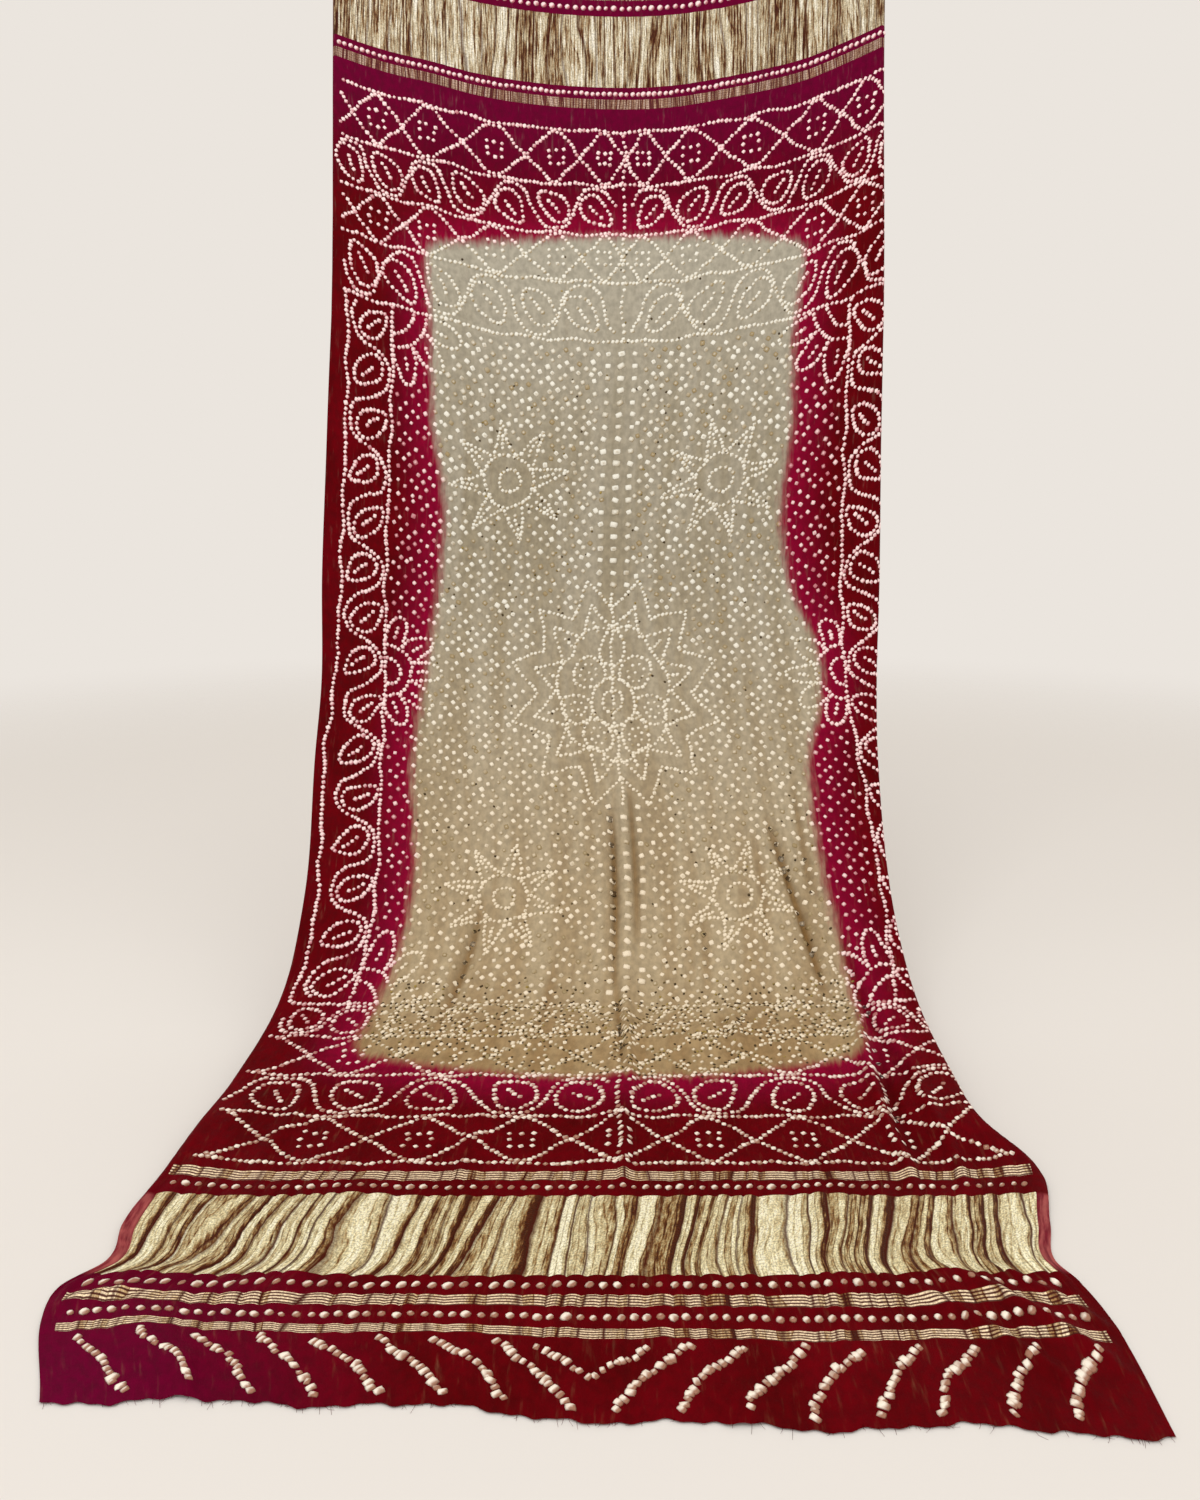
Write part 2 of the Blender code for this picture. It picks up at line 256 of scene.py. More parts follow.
run = read_columns(RUN_COLUMNS, RUN)
sides = read_columns(SIDE_COLUMNS, SIDES)
pleat_reach = read_columns(PLEAT_REACH_COLUMNS, PLEAT_REACH)
HANG = run["height"][0]
FINE_STEPS = 2400
knots = np.concatenate(([0.0], np.cumsum(np.hypot(np.diff(run["forward"]), np.diff(run["height"])))))
fine = np.linspace(0.0, knots[-1], FINE_STEPS)
fine_forward = smooth(knots, run["forward"], fine)
fine_height = np.maximum(smooth(knots, run["height"], fine), 0.0)
arc = np.concatenate(([0.0], np.cumsum(np.hypot(np.diff(fine_forward), np.diff(fine_height)))))
LENGTH = arc[-1]


def ease(value):
    """Smooth step: 0 below 0, 1 above 1, with level ends."""
    t = np.clip(value, 0.0, 1.0)
    return t * t * (3.0 - 2.0 * t)


def fold_height(across, down, folds):
    """Sum of bell-shaped ridges, each as far as the nearest point of its line, faded at its ends."""
    total = np.zeros_like(across)
    for name, across_from, down_from, across_to, down_to, half_width, height in folds:
        line_across = across_to - across_from
        line_down = down_to - down_from
        length_squared = line_across ** 2 + line_down ** 2
        along = ((across - across_from) * line_across + (down - down_from) * line_down) / length_squared
        nearest = np.clip(along, 0.0, 1.0)
        off_across = across - across_from - nearest * line_across
        off_down = down - down_from - nearest * line_down
        distance_squared = off_across ** 2 + off_down ** 2
        fade = np.sin(np.pi * nearest) ** 0.5
        total = total + height * fade * np.exp(-distance_squared / half_width ** 2)
    return total


def pleat_phase(across, down):
    """Pleats counted from the left: evenly over the width, plus slow waves that make them uneven."""
    lean = PLEAT_LEAN * ease(-across / HALF_WIDTH) * np.maximum(down - LEAN_FROM, 0.0)
    phase = (across + HALF_WIDTH + lean) / PLEAT_PITCH
    for length, share, start in PLEAT_SPACING:
        phase = phase + share * np.sin(2.0 * np.pi * across / length + start)
    for length_across, length_down, share, start in PLEAT_WANDER:
        turns = across / length_across + down / length_down
        phase = phase + share * np.sin(2.0 * np.pi * turns + start)
    return phase


def own_share(number):
    """A fixed share between 0 and 1 for each whole number: the last digits of a large sine."""
    step, start, size = SCRAMBLE
    return np.abs(np.modf(np.sin(step * np.floor(number) + start) * size)[0])


def pleat_height(across, down):
    """Each pleat is 1 - |2f - 1| to a power over its share f of the width, leaning to its own side."""
    phase = pleat_phase(across, down)
    share = (phase - np.floor(phase)) ** (PLEAT_SKEW[0] + PLEAT_SKEW[1] * own_share(phase))
    rounded = 1.0 - np.abs(2.0 * share - 1.0) ** PLEAT_ROUND
    tallness = PLEAT_TALLNESS[0] + PLEAT_TALLNESS[1] * own_share(phase + OTHER_DRAW)
    return PLEAT_HEIGHT * tallness * rounded


def cloth_middle(across, down):
    """Middle of the cloth's thickness at (across, down), and the way its face looks.

    The middle line gives the place along the run. A side beyond its flat width follows an arc of the
    turn radius behind the sheet and then a straight tail. Folds push along the face's own normal.
    """
    place = np.interp(down, arc, fine)
    nudge = fine[1]
    before = np.clip(place - nudge, 0.0, knots[-1])
    after = np.clip(place + nudge, 0.0, knots[-1])
    step_forward = smooth(knots, run["forward"], after) - smooth(knots, run["forward"], before)
    height_after = np.maximum(smooth(knots, run["height"], after), 0.0)
    height_before = np.maximum(smooth(knots, run["height"], before), 0.0)
    step_height = height_after - height_before
    step_length = np.hypot(step_forward, step_height)
    front_forward = -step_height / step_length
    front_up = step_forward / step_length

    here = {name: smooth(knots, run[name], place) for name in RUN_COLUMNS}
    edge = {name: smooth(knots, sides[name], place) for name in SIDE_COLUMNS}
    left = across < 0.0
    reach = np.where(left, edge["left_reach"], edge["right_reach"])
    turned = np.maximum(np.where(left, edge["left_turned"], edge["right_turned"]), 0.0)
    lift = np.maximum(np.where(left, edge["left_lift"], edge["right_lift"]), 0.0)
    rise = np.where(left, here["left_rise"], here["right_rise"])

    flat = HALF_WIDTH - turned
    bulge = TURN_RADIUS * np.sin(np.minimum(turned / TURN_RADIUS, np.pi / 2.0))
    out = np.abs(across)
    inside = np.minimum(out, flat)
    past = np.maximum(out - flat, 0.0)
    angle = np.minimum(past / TURN_RADIUS, TURN_LIMIT)
    tail = np.maximum(past - TURN_RADIUS * TURN_LIMIT, 0.0)
    sideways = inside / flat * (reach - bulge) + TURN_RADIUS * np.sin(angle) + tail * np.cos(angle)
    behind = TURN_RADIUS * (1.0 - np.cos(angle)) + tail * np.sin(angle)

    height = np.maximum(here["height"], 0.0)
    lifted = lift * ease((sideways - reach + LIFT_WIDTH) / LIFT_WIDTH)
    pleats = pleat_height(across, down) * np.interp(down, pleat_reach["down"], pleat_reach["strength"])
    small = fold_height(across, down, CREASES + WRINKLES) + pleats
    folds = (fold_height(across, down, FOLDS) + small) * ease((flat - out) / TURN_RADIUS + 1.0)
    folds = np.maximum(folds, -0.5 * (height + lifted))
    outward = folds - behind + HALF_THICKNESS
    x = here["middle"] + np.where(left, -sideways, sideways)
    y = -here["forward"] - front_forward * outward
    z = height - HANG + lifted + front_up * outward + rise * (inside / HALF_WIDTH) ** 2
    return np.stack((x, y, z), axis=-1)


def hem_offset(across, waves):
    """How much longer or shorter the cloth is at this place over the width: a slant and waves."""
    offset = HEM_SLANT * across
    for number, height, start in waves:
        offset = offset + height * np.sin(np.pi * number * across / HALF_WIDTH + start)
    return offset


# Gold stripes as woven: the wide one lies between rows of dots, with narrow ones on both sides.
STRIPE_COLUMNS = ("begins", "ends")
STRIPES = (
    ("far outer narrow",  0.0850, 0.0957),
    ("far second narrow", 0.1215, 0.1354),
    ("far wide",          0.1606, 0.2728),
    ("far inner narrow",  0.2918, 0.3068),
    ("near inner narrow", 2.0378, 2.0540),
    ("near wide",         2.0817, 2.2027),
    ("near second narrow", 2.2278, 2.2417),
    ("near outer narrow", 2.2673, 2.2779),
)
COLUMN_COUNT = 352
ROW_STEP = 0.0082
STRIPE_ROW_STEP = 0.0042
NEAR_STRIPES = (2.03, 2.32)
SELVEDGE = 0.0135           # width of the plain edge beside the gold stripes

stripes = read_columns(STRIPE_COLUMNS, STRIPES)
stops = np.sort(np.concatenate(([0.0, LENGTH], NEAR_STRIPES, stripes["begins"], stripes["ends"])))
runs = []
for begin, end in zip(stops[:-1], stops[1:]):
    near_stripes = NEAR_STRIPES[0] <= begin < NEAR_STRIPES[1]
    step = STRIPE_ROW_STEP if near_stripes else ROW_STEP
    runs.append(np.linspace(begin, end, int(np.ceil((end - begin) / step)), endpoint=False))
row_down = np.concatenate(runs + [np.array([LENGTH])])
column_across = np.linspace(-HALF_WIDTH, HALF_WIDTH, COLUMN_COUNT + 1)
grid_across, grid_down = np.meshgrid(column_across, row_down)
grid_points = cloth_middle(grid_across, grid_down)
near_hem = ease((grid_down - LENGTH + HEM_REACH) / HEM_REACH)
grid_points[..., 1] -= hem_offset(grid_across, HEM_WAVES + RAW_WAVES) * near_hem
grid_normals = np.cross(np.gradient(grid_points, axis=1), -np.gradient(grid_points, axis=0))
grid_normals /= np.linalg.norm(grid_normals, axis=-1, keepdims=True)


def grid_faces(row_count, column_count):
    """Quads of a grid of points, wound so that they face the front of the cloth."""
    index = np.arange(row_count * column_count).reshape(row_count, column_count)
    corners = (index[:-1, :-1], index[1:, :-1], index[1:, 1:], index[:-1, 1:])
    return np.stack(corners, axis=-1).reshape(-1, 4)


# How the dye lies. The middle was covered while the red was dyed, so the beige field has soft edges:
# each row gives how far it reaches to the left and right at one place down the cloth.
FIELD_COLUMNS = ("down", "left_edge", "right_edge")
FIELD = (
    ("top",         0.500, -0.306, 0.285),
    ("corner",      0.610, -0.304, 0.284),
    ("upper",       0.690, -0.298, 0.271),
    ("upper waist", 0.830, -0.292, 0.275),
    ("stars",       0.955, -0.269, 0.262),
    ("below stars", 1.085, -0.275, 0.282),
    ("middle",      1.165, -0.286, 0.316),
    ("flower",      1.247, -0.298, 0.320),
    ("lower waist", 1.343, -0.311, 0.286),
    ("near stars",  1.520, -0.306, 0.277),
    ("low",         1.628, -0.311, 0.291),
    ("foot",        1.736, -0.321, 0.304),
    ("bottom",      1.870, -0.325, 0.306),
)
FIELD_TOP = 0.510
FIELD_TOP_BOW = 0.62        # how fast the upper edge drops toward the sides, per metre across
FIELD_BOTTOM = 1.866
FIELD_BOTTOM_BOW = 0.45
FIELD_SOFT = 0.038
BLEED_GROWTH = 0.040
BLEED_SOFT = 0.090
field = read_columns(FIELD_COLUMNS, FIELD)


def dye_cover(across, down, growth, soft):
    """1 inside the covered field, 0 outside, with a soft step over each of its four edges."""
    left = smooth(field["down"], field["left_edge"], np.clip(down, FIELD[0][1], FIELD[-1][1]))
    right = smooth(field["down"], field["right_edge"], np.clip(down, FIELD[0][1], FIELD[-1][1]))
    top = FIELD_TOP + FIELD_TOP_BOW * across ** 2
    bottom = FIELD_BOTTOM - FIELD_BOTTOM_BOW * across ** 2
    cover = ease((across - left + growth) / soft + 0.5) * ease((right - across + growth) / soft + 0.5)
    return cover * ease((down - top + growth) / soft + 0.5) * ease((bottom - down + growth) / soft + 0.5)


# Painted crease shade: the colour darkens in the furrows of the small creases, most at this depth.
FURROW_DEPTH = 0.0075       # a furrow this deep is darkest
BESIDE_GOLD = 5             # the wide near stripe, whose selvedges are pulled thin and look pink
SELVEDGE_SOFT = 0.006
SELVEDGE_EDGE = 0.001       # how far inside the gold the pink of the selvedge begins
PLUM_FROM = 0.42
PLUM_FADE = 0.26
PLUM_CORNER = (-0.46, 2.36)
PLUM_CORNER_REACH = 0.34


def plum_share(across, down):
    """Where the red turned plum: the far end above the first bands, and the near left corner."""
    far = ease((PLUM_FROM - down) / PLUM_FADE + 0.5)
    corner = np.hypot(across - PLUM_CORNER[0], down - PLUM_CORNER[1])
    return np.maximum(far, ease(1.0 - corner / PLUM_CORNER_REACH))


def set_values(mesh, name, values):
    """Stores one number for each point of the mesh."""
    attribute = mesh.attributes.new(name, "FLOAT", "POINT")
    attribute.data.foreach_set("value", np.ascontiguousarray(values, dtype=np.float32).ravel())


def set_map(mesh, across, down):
    """Lays the cloth's own places, in metres, in the mesh's map, one pair for each face corner."""
    corners = np.empty(len(mesh.loops), dtype=np.int32)
    mesh.loops.foreach_get("vertex_index", corners)
    places = np.stack((across.ravel() + HALF_WIDTH, down.ravel()), axis=-1)[corners]
    layer = mesh.uv_layers.new(name="cloth_places")
    layer.data.foreach_set("uv", places.astype(np.float32).ravel())


def set_dye_and_crease_shade(mesh, across, down):
    """Gives the mesh the dye's shares, its furrows' depth for painted crease shade, and the cloth's places.
    """
    # painted crease shade: the furrows' depth darkens the colour in the shader
    furrow = np.maximum(-fold_height(across, down, CREASES + WRINKLES), 0.0) / FURROW_DEPTH
    set_values(mesh, "furrow", np.clip(furrow, 0.0, 1.0))
    after_start = ease((down - stripes["begins"][BESIDE_GOLD]) / SELVEDGE_SOFT)
    beside_gold = after_start * ease((stripes["ends"][BESIDE_GOLD] - down) / SELVEDGE_SOFT)
    set_values(mesh, "selvedge", beside_gold * (np.abs(across) > HALF_WIDTH - SELVEDGE - SELVEDGE_EDGE))
    set_values(mesh, "beige", dye_cover(across, down, 0.0, FIELD_SOFT))
    set_values(mesh, "bleed", dye_cover(across, down, BLEED_GROWTH, BLEED_SOFT))
    set_values(mesh, "plum", plum_share(across, down))
    set_map(mesh, across, down)


def from_hex(text):
    """Turns an sRGB hex colour into linear RGBA."""
    values = [int(text[start:start + 2], 16) / 255.0 for start in (0, 2, 4)]
    linear = [v / 12.92 if v <= 0.04045 else ((v + 0.055) / 1.055) ** 2.4 for v in values]
    return (*linear, 1.0)


# Places of a colour mix's inputs and output, and the settings that many nodes share.
SHARE, UNDER, OVER, MIXED = 0, 6, 7, 2
LAID_OVER = {"data_type": "RGBA"}
MULTIPLIED = {"data_type": "RGBA", "blend_type": "MULTIPLY"}
EASED = {"interpolation_type": "SMOOTHSTEP"}
WEIGHED = {"operation": "MULTIPLY_ADD"}


def add_node(tree, kind, sockets=(), **settings):
    """Adds one node with its settings and links. A dictionary names its inputs, a row is in order."""
    node = tree.nodes.new("ShaderNode" + kind)
    for name, value in settings.items():
        setattr(node, name, value)
    for place, value in sockets.items() if isinstance(sockets, dict) else enumerate(sockets):
        if isinstance(value, bpy.types.NodeSocket):
            tree.links.new(value, node.inputs[place])
        else:
            node.inputs[place].default_value = value
    return node


def new_material(name):
    """An empty material: its node tree and its output node."""
    material = bpy.data.materials.new(name)
    material.use_nodes = True
    material.node_tree.nodes.clear()
    return material, material.node_tree, add_node(material.node_tree, "OutputMaterial")


def layered(tree, ground, layers):
    """Lays colours on a ground, one over another: each by its share, mixed over it or multiplied into it.
    """
    for share, colour, kind in layers:
        colours = {SHARE: share, UNDER: ground, OVER: colour}
        ground = add_node(tree, "Mix", colours, **kind).outputs[MIXED]
    return ground


def cloth_noise(tree, across_scale, down_scale, detail, roughness=0.55):
    """Noise on the cloth's places, so many per metre across and down it."""
    places = add_node(tree, "UVMap", uv_map="cloth_places").outputs["UV"]
    scaled = add_node(tree, "Mapping", {"Vector": places, "Scale": (across_scale, down_scale, 1.0)})
    noise = add_node(tree, "TexNoise", {
        "Vector": scaled.outputs["Vector"], "Scale": 1.0, "Detail": detail, "Roughness": roughness,
    })
    return noise.outputs["Fac"]


def cloth_down(tree):
    """How far down the cloth the place is, in metres."""
    places = add_node(tree, "UVMap", uv_map="cloth_places").outputs["UV"]
    return add_node(tree, "SeparateXYZ", {"Vector": places}).outputs["Y"]


# Patterns in the dye, in counts per metre across and down the cloth.
STREAKS = (170.0, 26.0)         # dye that ran along the warp, 6 by 38 mm
UPRIGHTS = (34.0, 2.6)          # paler and darker lengths of the field, 29 by 385 mm
RED_PATCHES = (14.0, 9.0)       # where the red took unevenly, 71 by 111 mm


def dyed_ground_and_crease_shade(tree):
    """Colour of the dyed crepe: red, plum, crimson by the field's edge, beige field, painted crease shade.
    """
    dye_and_furrow = {
        name: add_node(tree, "Attribute", attribute_name=name).outputs["Fac"]
        for name in ("plum", "bleed", "selvedge", "beige", "furrow")
    }
    streak = cloth_noise(tree, *STREAKS, 3.0)
    upright = cloth_noise(tree, *UPRIGHTS, 3.0)
    shades = {}
    for name, noise, low, high, first, second in (
        ("red", cloth_noise(tree, *RED_PATCHES, 5.0), 0.30, 0.70, "540004", "66000A"),
        ("worn", streak, 0.35, 0.65, "74202C", "AA5654"),
        ("upper field", upright, 0.35, 0.65, "9C927C", "A8A08E"),
        ("lower field", upright, 0.35, 0.65, "A89270", "B6A484"),
    ):
        share = add_node(tree, "MapRange", (noise, low, high), **EASED).outputs[0]
        colours = {SHARE: share, UNDER: from_hex(first), OVER: from_hex(second)}
        shades[name] = add_node(tree, "Mix", colours, **LAID_OVER).outputs[MIXED]
    down = cloth_down(tree)
    below_top, below_middle, on_floor = (
        add_node(tree, "MapRange", (down, begins, ends), **EASED).outputs[0]
        for begins, ends in ((0.5, 0.9), (0.9, 1.8), (1.66, 1.82))
    )
    field_colour = layered(tree, from_hex("ACA696"), (
        (below_top, shades["upper field"], LAID_OVER),
        (below_middle, shades["lower field"], LAID_OVER),
        (on_floor, from_hex("EADECC"), MULTIPLIED),
    ))
    feathered = add_node(tree, "Math", (streak, 0.9, dye_and_furrow["beige"]), **WEIGHED).outputs[0]
    cover = add_node(tree, "MapRange", (feathered, 0.50, 1.34), **EASED).outputs[0]
    plum = add_node(tree, "Math", (dye_and_furrow["plum"], 0.9), operation="MULTIPLY").outputs[0]
    bleed = add_node(tree, "Math", (dye_and_furrow["bleed"], 0.75), operation="MULTIPLY").outputs[0]
    return layered(tree, shades["red"], (
        (plum, from_hex("66002E"), LAID_OVER),
        (bleed, from_hex("920636"), LAID_OVER),
        (dye_and_furrow["selvedge"], shades["worn"], LAID_OVER),
        (cover, field_colour, LAID_OVER),
        # painted crease shade: multiplied by tan as deep as the furrows go
        (dye_and_furrow["furrow"], from_hex("CDB694"), MULTIPLIED),
    ))


# Silk crepe, piece-dyed: matt with a faint silky sheen. Hard-twisted threads pucker it all over, at
# about 0.4 mm, which is drawn three times as coarse so that it shows.
CREPE_PUCKERS = 830.0
PUCKER_LENGTH = 0.6         # puckers down the cloth for each one across it
COCKLES = (120.0, 85.0)     # low swellings between the ties, 8 by 12 mm
crepe, tree, output = new_material("tied_and_dyed_crepe")
puckers = cloth_noise(tree, CREPE_PUCKERS, CREPE_PUCKERS * PUCKER_LENGTH, 2.0)
cockle = cloth_noise(tree, *COCKLES, 3.0)
relief = add_node(tree, "Math", (puckers, 0.35, cockle), **WEIGHED).outputs[0]
# Painted shade of the cockles: the colour is multiplied lighter where the same noise raises the bump, and
# darker in its hollows.
shade = add_node(tree, "MapRange", (cockle, 0.25, 0.75, 0.80, 1.12), **EASED).outputs[0]
crepe_colour = add_node(
    tree, "Mix", {SHARE: 1.0, UNDER: dyed_ground_and_crease_shade(tree), OVER: shade}, **MULTIPLIED,
).outputs[MIXED]
crepe_roughness = add_node(tree, "MapRange", (cockle, 0.2, 0.8, 0.55, 0.75), **EASED).outputs[0]
crepe_bump = add_node(tree, "Bump", {"Strength": 0.55, "Distance": 0.0016, "Height": relief})
crepe_shader = add_node(tree, "BsdfPrincipled", {
    "Base Color": crepe_colour, "Roughness": crepe_roughness, "Specular IOR Level": 0.03,
    "Normal": crepe_bump.outputs["Normal"],
})
tree.links.new(crepe_shader.outputs["BSDF"], output.inputs["Surface"])


def make_piece(name, points, faces, material):
    """Adds a smooth-shaded piece in its finish, riding on the stole's one body."""
    mesh = bpy.data.meshes.new(name)
    face_lists = faces if isinstance(faces, list) else faces.tolist()
    mesh.from_pydata(points.reshape(-1, 3).tolist(), [], face_lists)
    mesh.materials.append(material)
    mesh.shade_smooth()
    piece = bpy.data.objects.new(name, mesh)
    bpy.context.scene.collection.objects.link(piece)
    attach(piece, "root")
    return piece


def used_only(faces, *grids):
    """Keeps only the grid points that these faces use, and renumbers the faces to match."""
    kept, renumbered = np.unique(faces, return_inverse=True)
    return renumbered.reshape(faces.shape), [grid.reshape(-1, *grid.shape[2:])[kept] for grid in grids]


all_faces = grid_faces(*grid_across.shape)
face_down = grid_down.ravel()[all_faces].mean(axis=1)
face_across = grid_across.ravel()[all_faces].mean(axis=1)
in_stripe = (face_down[:, None] > stripes["begins"]) & (face_down[:, None] < stripes["ends"])
gilded = in_stripe.any(axis=1) & (np.abs(face_across) < HALF_WIDTH - SELVEDGE)
ground_faces, (points, across, down) = used_only(all_faces[~gilded], grid_points, grid_across, grid_down)
cloth = make_piece("stole_cloth", points, ground_faces, crepe)
set_dye_and_crease_shade(cloth.data, across, down)
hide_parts("cloth")

# ------------------------------------------------------------------------------------------------
# The gold stripes. Zari, a silk thread wound with flat gilt strip, replaces the silk weft in a wide
# stripe and narrow ones at each end. The red warp shows brown wherever the metal crinkles in, and
# painted shade darkens the creases further.
# ------------------------------------------------------------------------------------------------
NARROW_LINES = 4            # gold lines in a narrow stripe, with the red ground between them
WIDE_STRIPE = 0.05
FINE_CREASES = (3.3, 2.7)   # thin crinkles for each pleat, at the far and the near end
NARROW_CREASES = (4.0, 0.9)     # crinkles for each pleat in a narrow stripe, at the far and the near end
FAR_END = 1.2
ROUNDING = 1e-6

# Zari: flat gilt metal strip wound on thread, woven in as the weft over a red silk warp. Its light and
# shade are painted into its colour: the tops of its pleats are painted shining pale gold, their turned
# sides in painted tan shade, and their creases show the warp's brown under painted crease shade.
# Its patterns are in counts per metre across and down, and all are coarser than the strip itself,
# which is too fine to show.
STRANDS = (340.0, 42.0)         # crinkled lengths of gilt, 3 by 24 mm
LONG_STRANDS = (360.0, 13.0)    # the longer ones at the far end, 3 by 77 mm
SPECKLE = (480.0, 400.0)        # crossings that glint, 2 by 2.5 mm
KINKS = (42.0, 24.0)            # where a pleat bends aside, 24 by 42 mm
BLISTERS = (210.0, 105.0)       # small swellings, 5 by 10 mm
zari, tree, output = new_material("woven_gilt_zari")
strands = cloth_noise(tree, *STRANDS, 4.0, 0.62)
long_strands = cloth_noise(tree, *LONG_STRANDS, 4.0, 0.66)
speckle = cloth_noise(tree, *SPECKLE, 2.0, 0.6)
kinks = cloth_noise(tree, *KINKS, 2.0)
blisters = cloth_noise(tree, *BLISTERS, 3.0, 0.6)
woven = {
    name: add_node(tree, "Attribute", attribute_name=name).outputs["Fac"]
    for name in ("near_end", "narrow", "pleat", "fine", "line_phase")
}


def by_end(tree, far, near):
    """One number at the far end and another at the near end."""
    return add_node(tree, "MapRange", (woven["near_end"], 0.0, 1.0, far, near), **EASED).outputs[0]


def off_crease(tree, count):
    """Share of a pleat that lies left of the place, and its distance to the pleat's nearer crease."""
    share = add_node(tree, "Math", (count,), operation="FRACT").outputs[0]
    off_middle = add_node(tree, "Math", (share, 0.5), operation="SUBTRACT").outputs[0]
    distance = add_node(tree, "Math", (off_middle,), operation="ABSOLUTE").outputs[0]
    return share, add_node(tree, "Math", (0.5, distance), operation="SUBTRACT").outputs[0]


def own_tone(tree, number, start):
    """A fixed random share for each whole number, and other ones for another start."""
    whole = add_node(tree, "Math", (number,), operation="FLOOR").outputs[0]
    moved = add_node(tree, "Math", (whole, start), operation="ADD").outputs[0]
    return add_node(tree, "TexWhiteNoise", {"W": moved}, noise_dimensions="1D").outputs["Value"]


pleat_count = add_node(tree, "Math", (kinks, 0.22, woven["pleat"]), **WEIGHED).outputs[0]
share, from_crease = off_crease(tree, pleat_count)
crease = add_node(tree, "MapRange", (from_crease, 0.0, 0.125, 1.0, 0.0), **EASED).outputs[0]
turned_side = add_node(tree, "MapRange", (share, 0.55, 0.92), **EASED).outputs[0]
fine_count = add_node(tree, "Math", (kinks, 0.9, woven["fine"]), **WEIGHED).outputs[0]
from_fine = off_crease(tree, fine_count)[1]
fine_crease = add_node(tree, "MapRange", (from_fine, 0.02, 0.14, 1.0, 0.0), **EASED).outputs[0]
tone = own_tone(tree, pleat_count, 19.5)
fine_tone = own_tone(tree, fine_count, 57.5)
narrow_tone = add_node(tree, "Math", (woven["narrow"], fine_tone), operation="MULTIPLY").outputs[0]
side_tone = own_tone(tree, pleat_count, 88.5)
shaded_share = add_node(tree, "MapRange", (side_tone, 0.0, 1.0, 0.15, 1.45), **EASED).outputs[0]
shaded_side = add_node(tree, "Math", (turned_side, shaded_share), operation="MULTIPLY").outputs[0]
# Painted light: the shine sets how bright the gold is painted. Both ends are one weave, and by_end paints
# the hanging far end in other light than the near end on the floor. The turned side of each pleat and each
# fine crinkle are painted darker, as shade.
shine = by_end(tree, -2.46, -0.38)
for catches_light, far, near in (
    (tone, 0.40, 0.52),
    (fine_tone, 0.50, 0.62),
    (strands, 1.5, 1.9),
    (long_strands, 3.9, 0.0),
    (blisters, 0.5, 0.7),
    (kinks, 0.8, 0.0),
    (woven["narrow"], -0.40, 0.15),
    (narrow_tone, 0.80, 1.20),
    (shaded_side, -0.20, -0.70),
    (fine_crease, -0.25, -0.30),
):
    shine = add_node(tree, "Math", (catches_light, by_end(tree, far, near), shine), **WEIGHED).outputs[0]
shine = add_node(tree, "Math", (shine, 0.86, -0.62), **WEIGHED).outputs[0]
gilt = add_node(tree, "ValToRGB", {"Fac": shine})
ramp = gilt.color_ramp
ramp.elements[0].position = 0.0
ramp.elements[0].color = from_hex("4A1E08")
ramp.elements[1].position = 1.0
ramp.elements[1].color = from_hex("FFFADA")
for position, shade in (
    (0.20, "80582F"), (0.36, "AE9466"), (0.48, "C0AE84"), (0.60, "D2C499"), (0.76, "E6DCB2"),
):
    ramp.elements.new(position).color = from_hex(shade)
# Painted glints: the speckle multiplies the gold's colour from 0.68 up to 1.2 times at the far end and 1.34
# times at the near end.
brightest = by_end(tree, 1.20, 1.34)
glitter = add_node(tree, "MapRange", (speckle, 0.34, 0.66, 0.68, brightest), **EASED).outputs[0]
jog = add_node(tree, "Math", (tone, 0.6, woven["line_phase"]), **WEIGHED).outputs[0]
from_gap = off_crease(tree, jog)[1]
gap = add_node(tree, "MapRange", (from_gap, 0.16, 0.34, 1.0, 0.0), **EASED).outputs[0]
for strength in (woven["narrow"], by_end(tree, 0.35, 0.95)):
    gap = add_node(tree, "Math", (gap, strength), operation="MULTIPLY").outputs[0]
# The creases: the warp's brown and painted crease shade, darkened by a random depth for each pleat and most
# at the near end.
depth_tone = own_tone(tree, pleat_count, 31.5)
deepest = by_end(tree, 0.70, 1.0)
darkest = add_node(tree, "MapRange", (depth_tone, 0.0, 1.0, 0.60, deepest), **EASED).outputs[0]
dark = add_node(tree, "Math", (crease, darkest), operation="MULTIPLY").outputs[0]
far_end = add_node(tree, "Math", (1.0, woven["near_end"]), operation="SUBTRACT").outputs[0]
red_showing = by_end(tree, 0.30, 0.0)
far_narrow = add_node(tree, "Math", (woven["narrow"], red_showing), operation="MULTIPLY").outputs[0]
zari_colour = layered(tree, gilt.outputs["Color"], (
    (1.0, glitter, MULTIPLIED),
    (gap, from_hex("4A1008"), LAID_OVER),
    (dark, from_hex("481004"), LAID_OVER),
    # painted light: the hanging far end is multiplied cooler than the near end on the floor
    (far_end, from_hex("EFEEFF"), MULTIPLIED),
    (woven["narrow"], from_hex("F8E4DC"), MULTIPLIED),
    (far_narrow, from_hex("7E3844"), LAID_OVER),
))
zari_height = strands
for relief, weight in ((speckle, 0.8), (fine_crease, -0.5), (crease, -0.4)):
    zari_height = add_node(tree, "Math", (relief, weight, zari_height), **WEIGHED).outputs[0]
zari_bump = add_node(tree, "Bump", {"Strength": 0.9, "Distance": 0.0014, "Height": zari_height})
metal_share = add_node(tree, "Math", (dark, -0.20, 0.20), **WEIGHED).outputs[0]
strip_roughness = add_node(tree, "MapRange", (speckle, 0.3, 0.7, 0.38, 0.55), **EASED).outputs[0]
zari_roughness = add_node(tree, "Math", (dark, 0.45, strip_roughness), **WEIGHED).outputs[0]
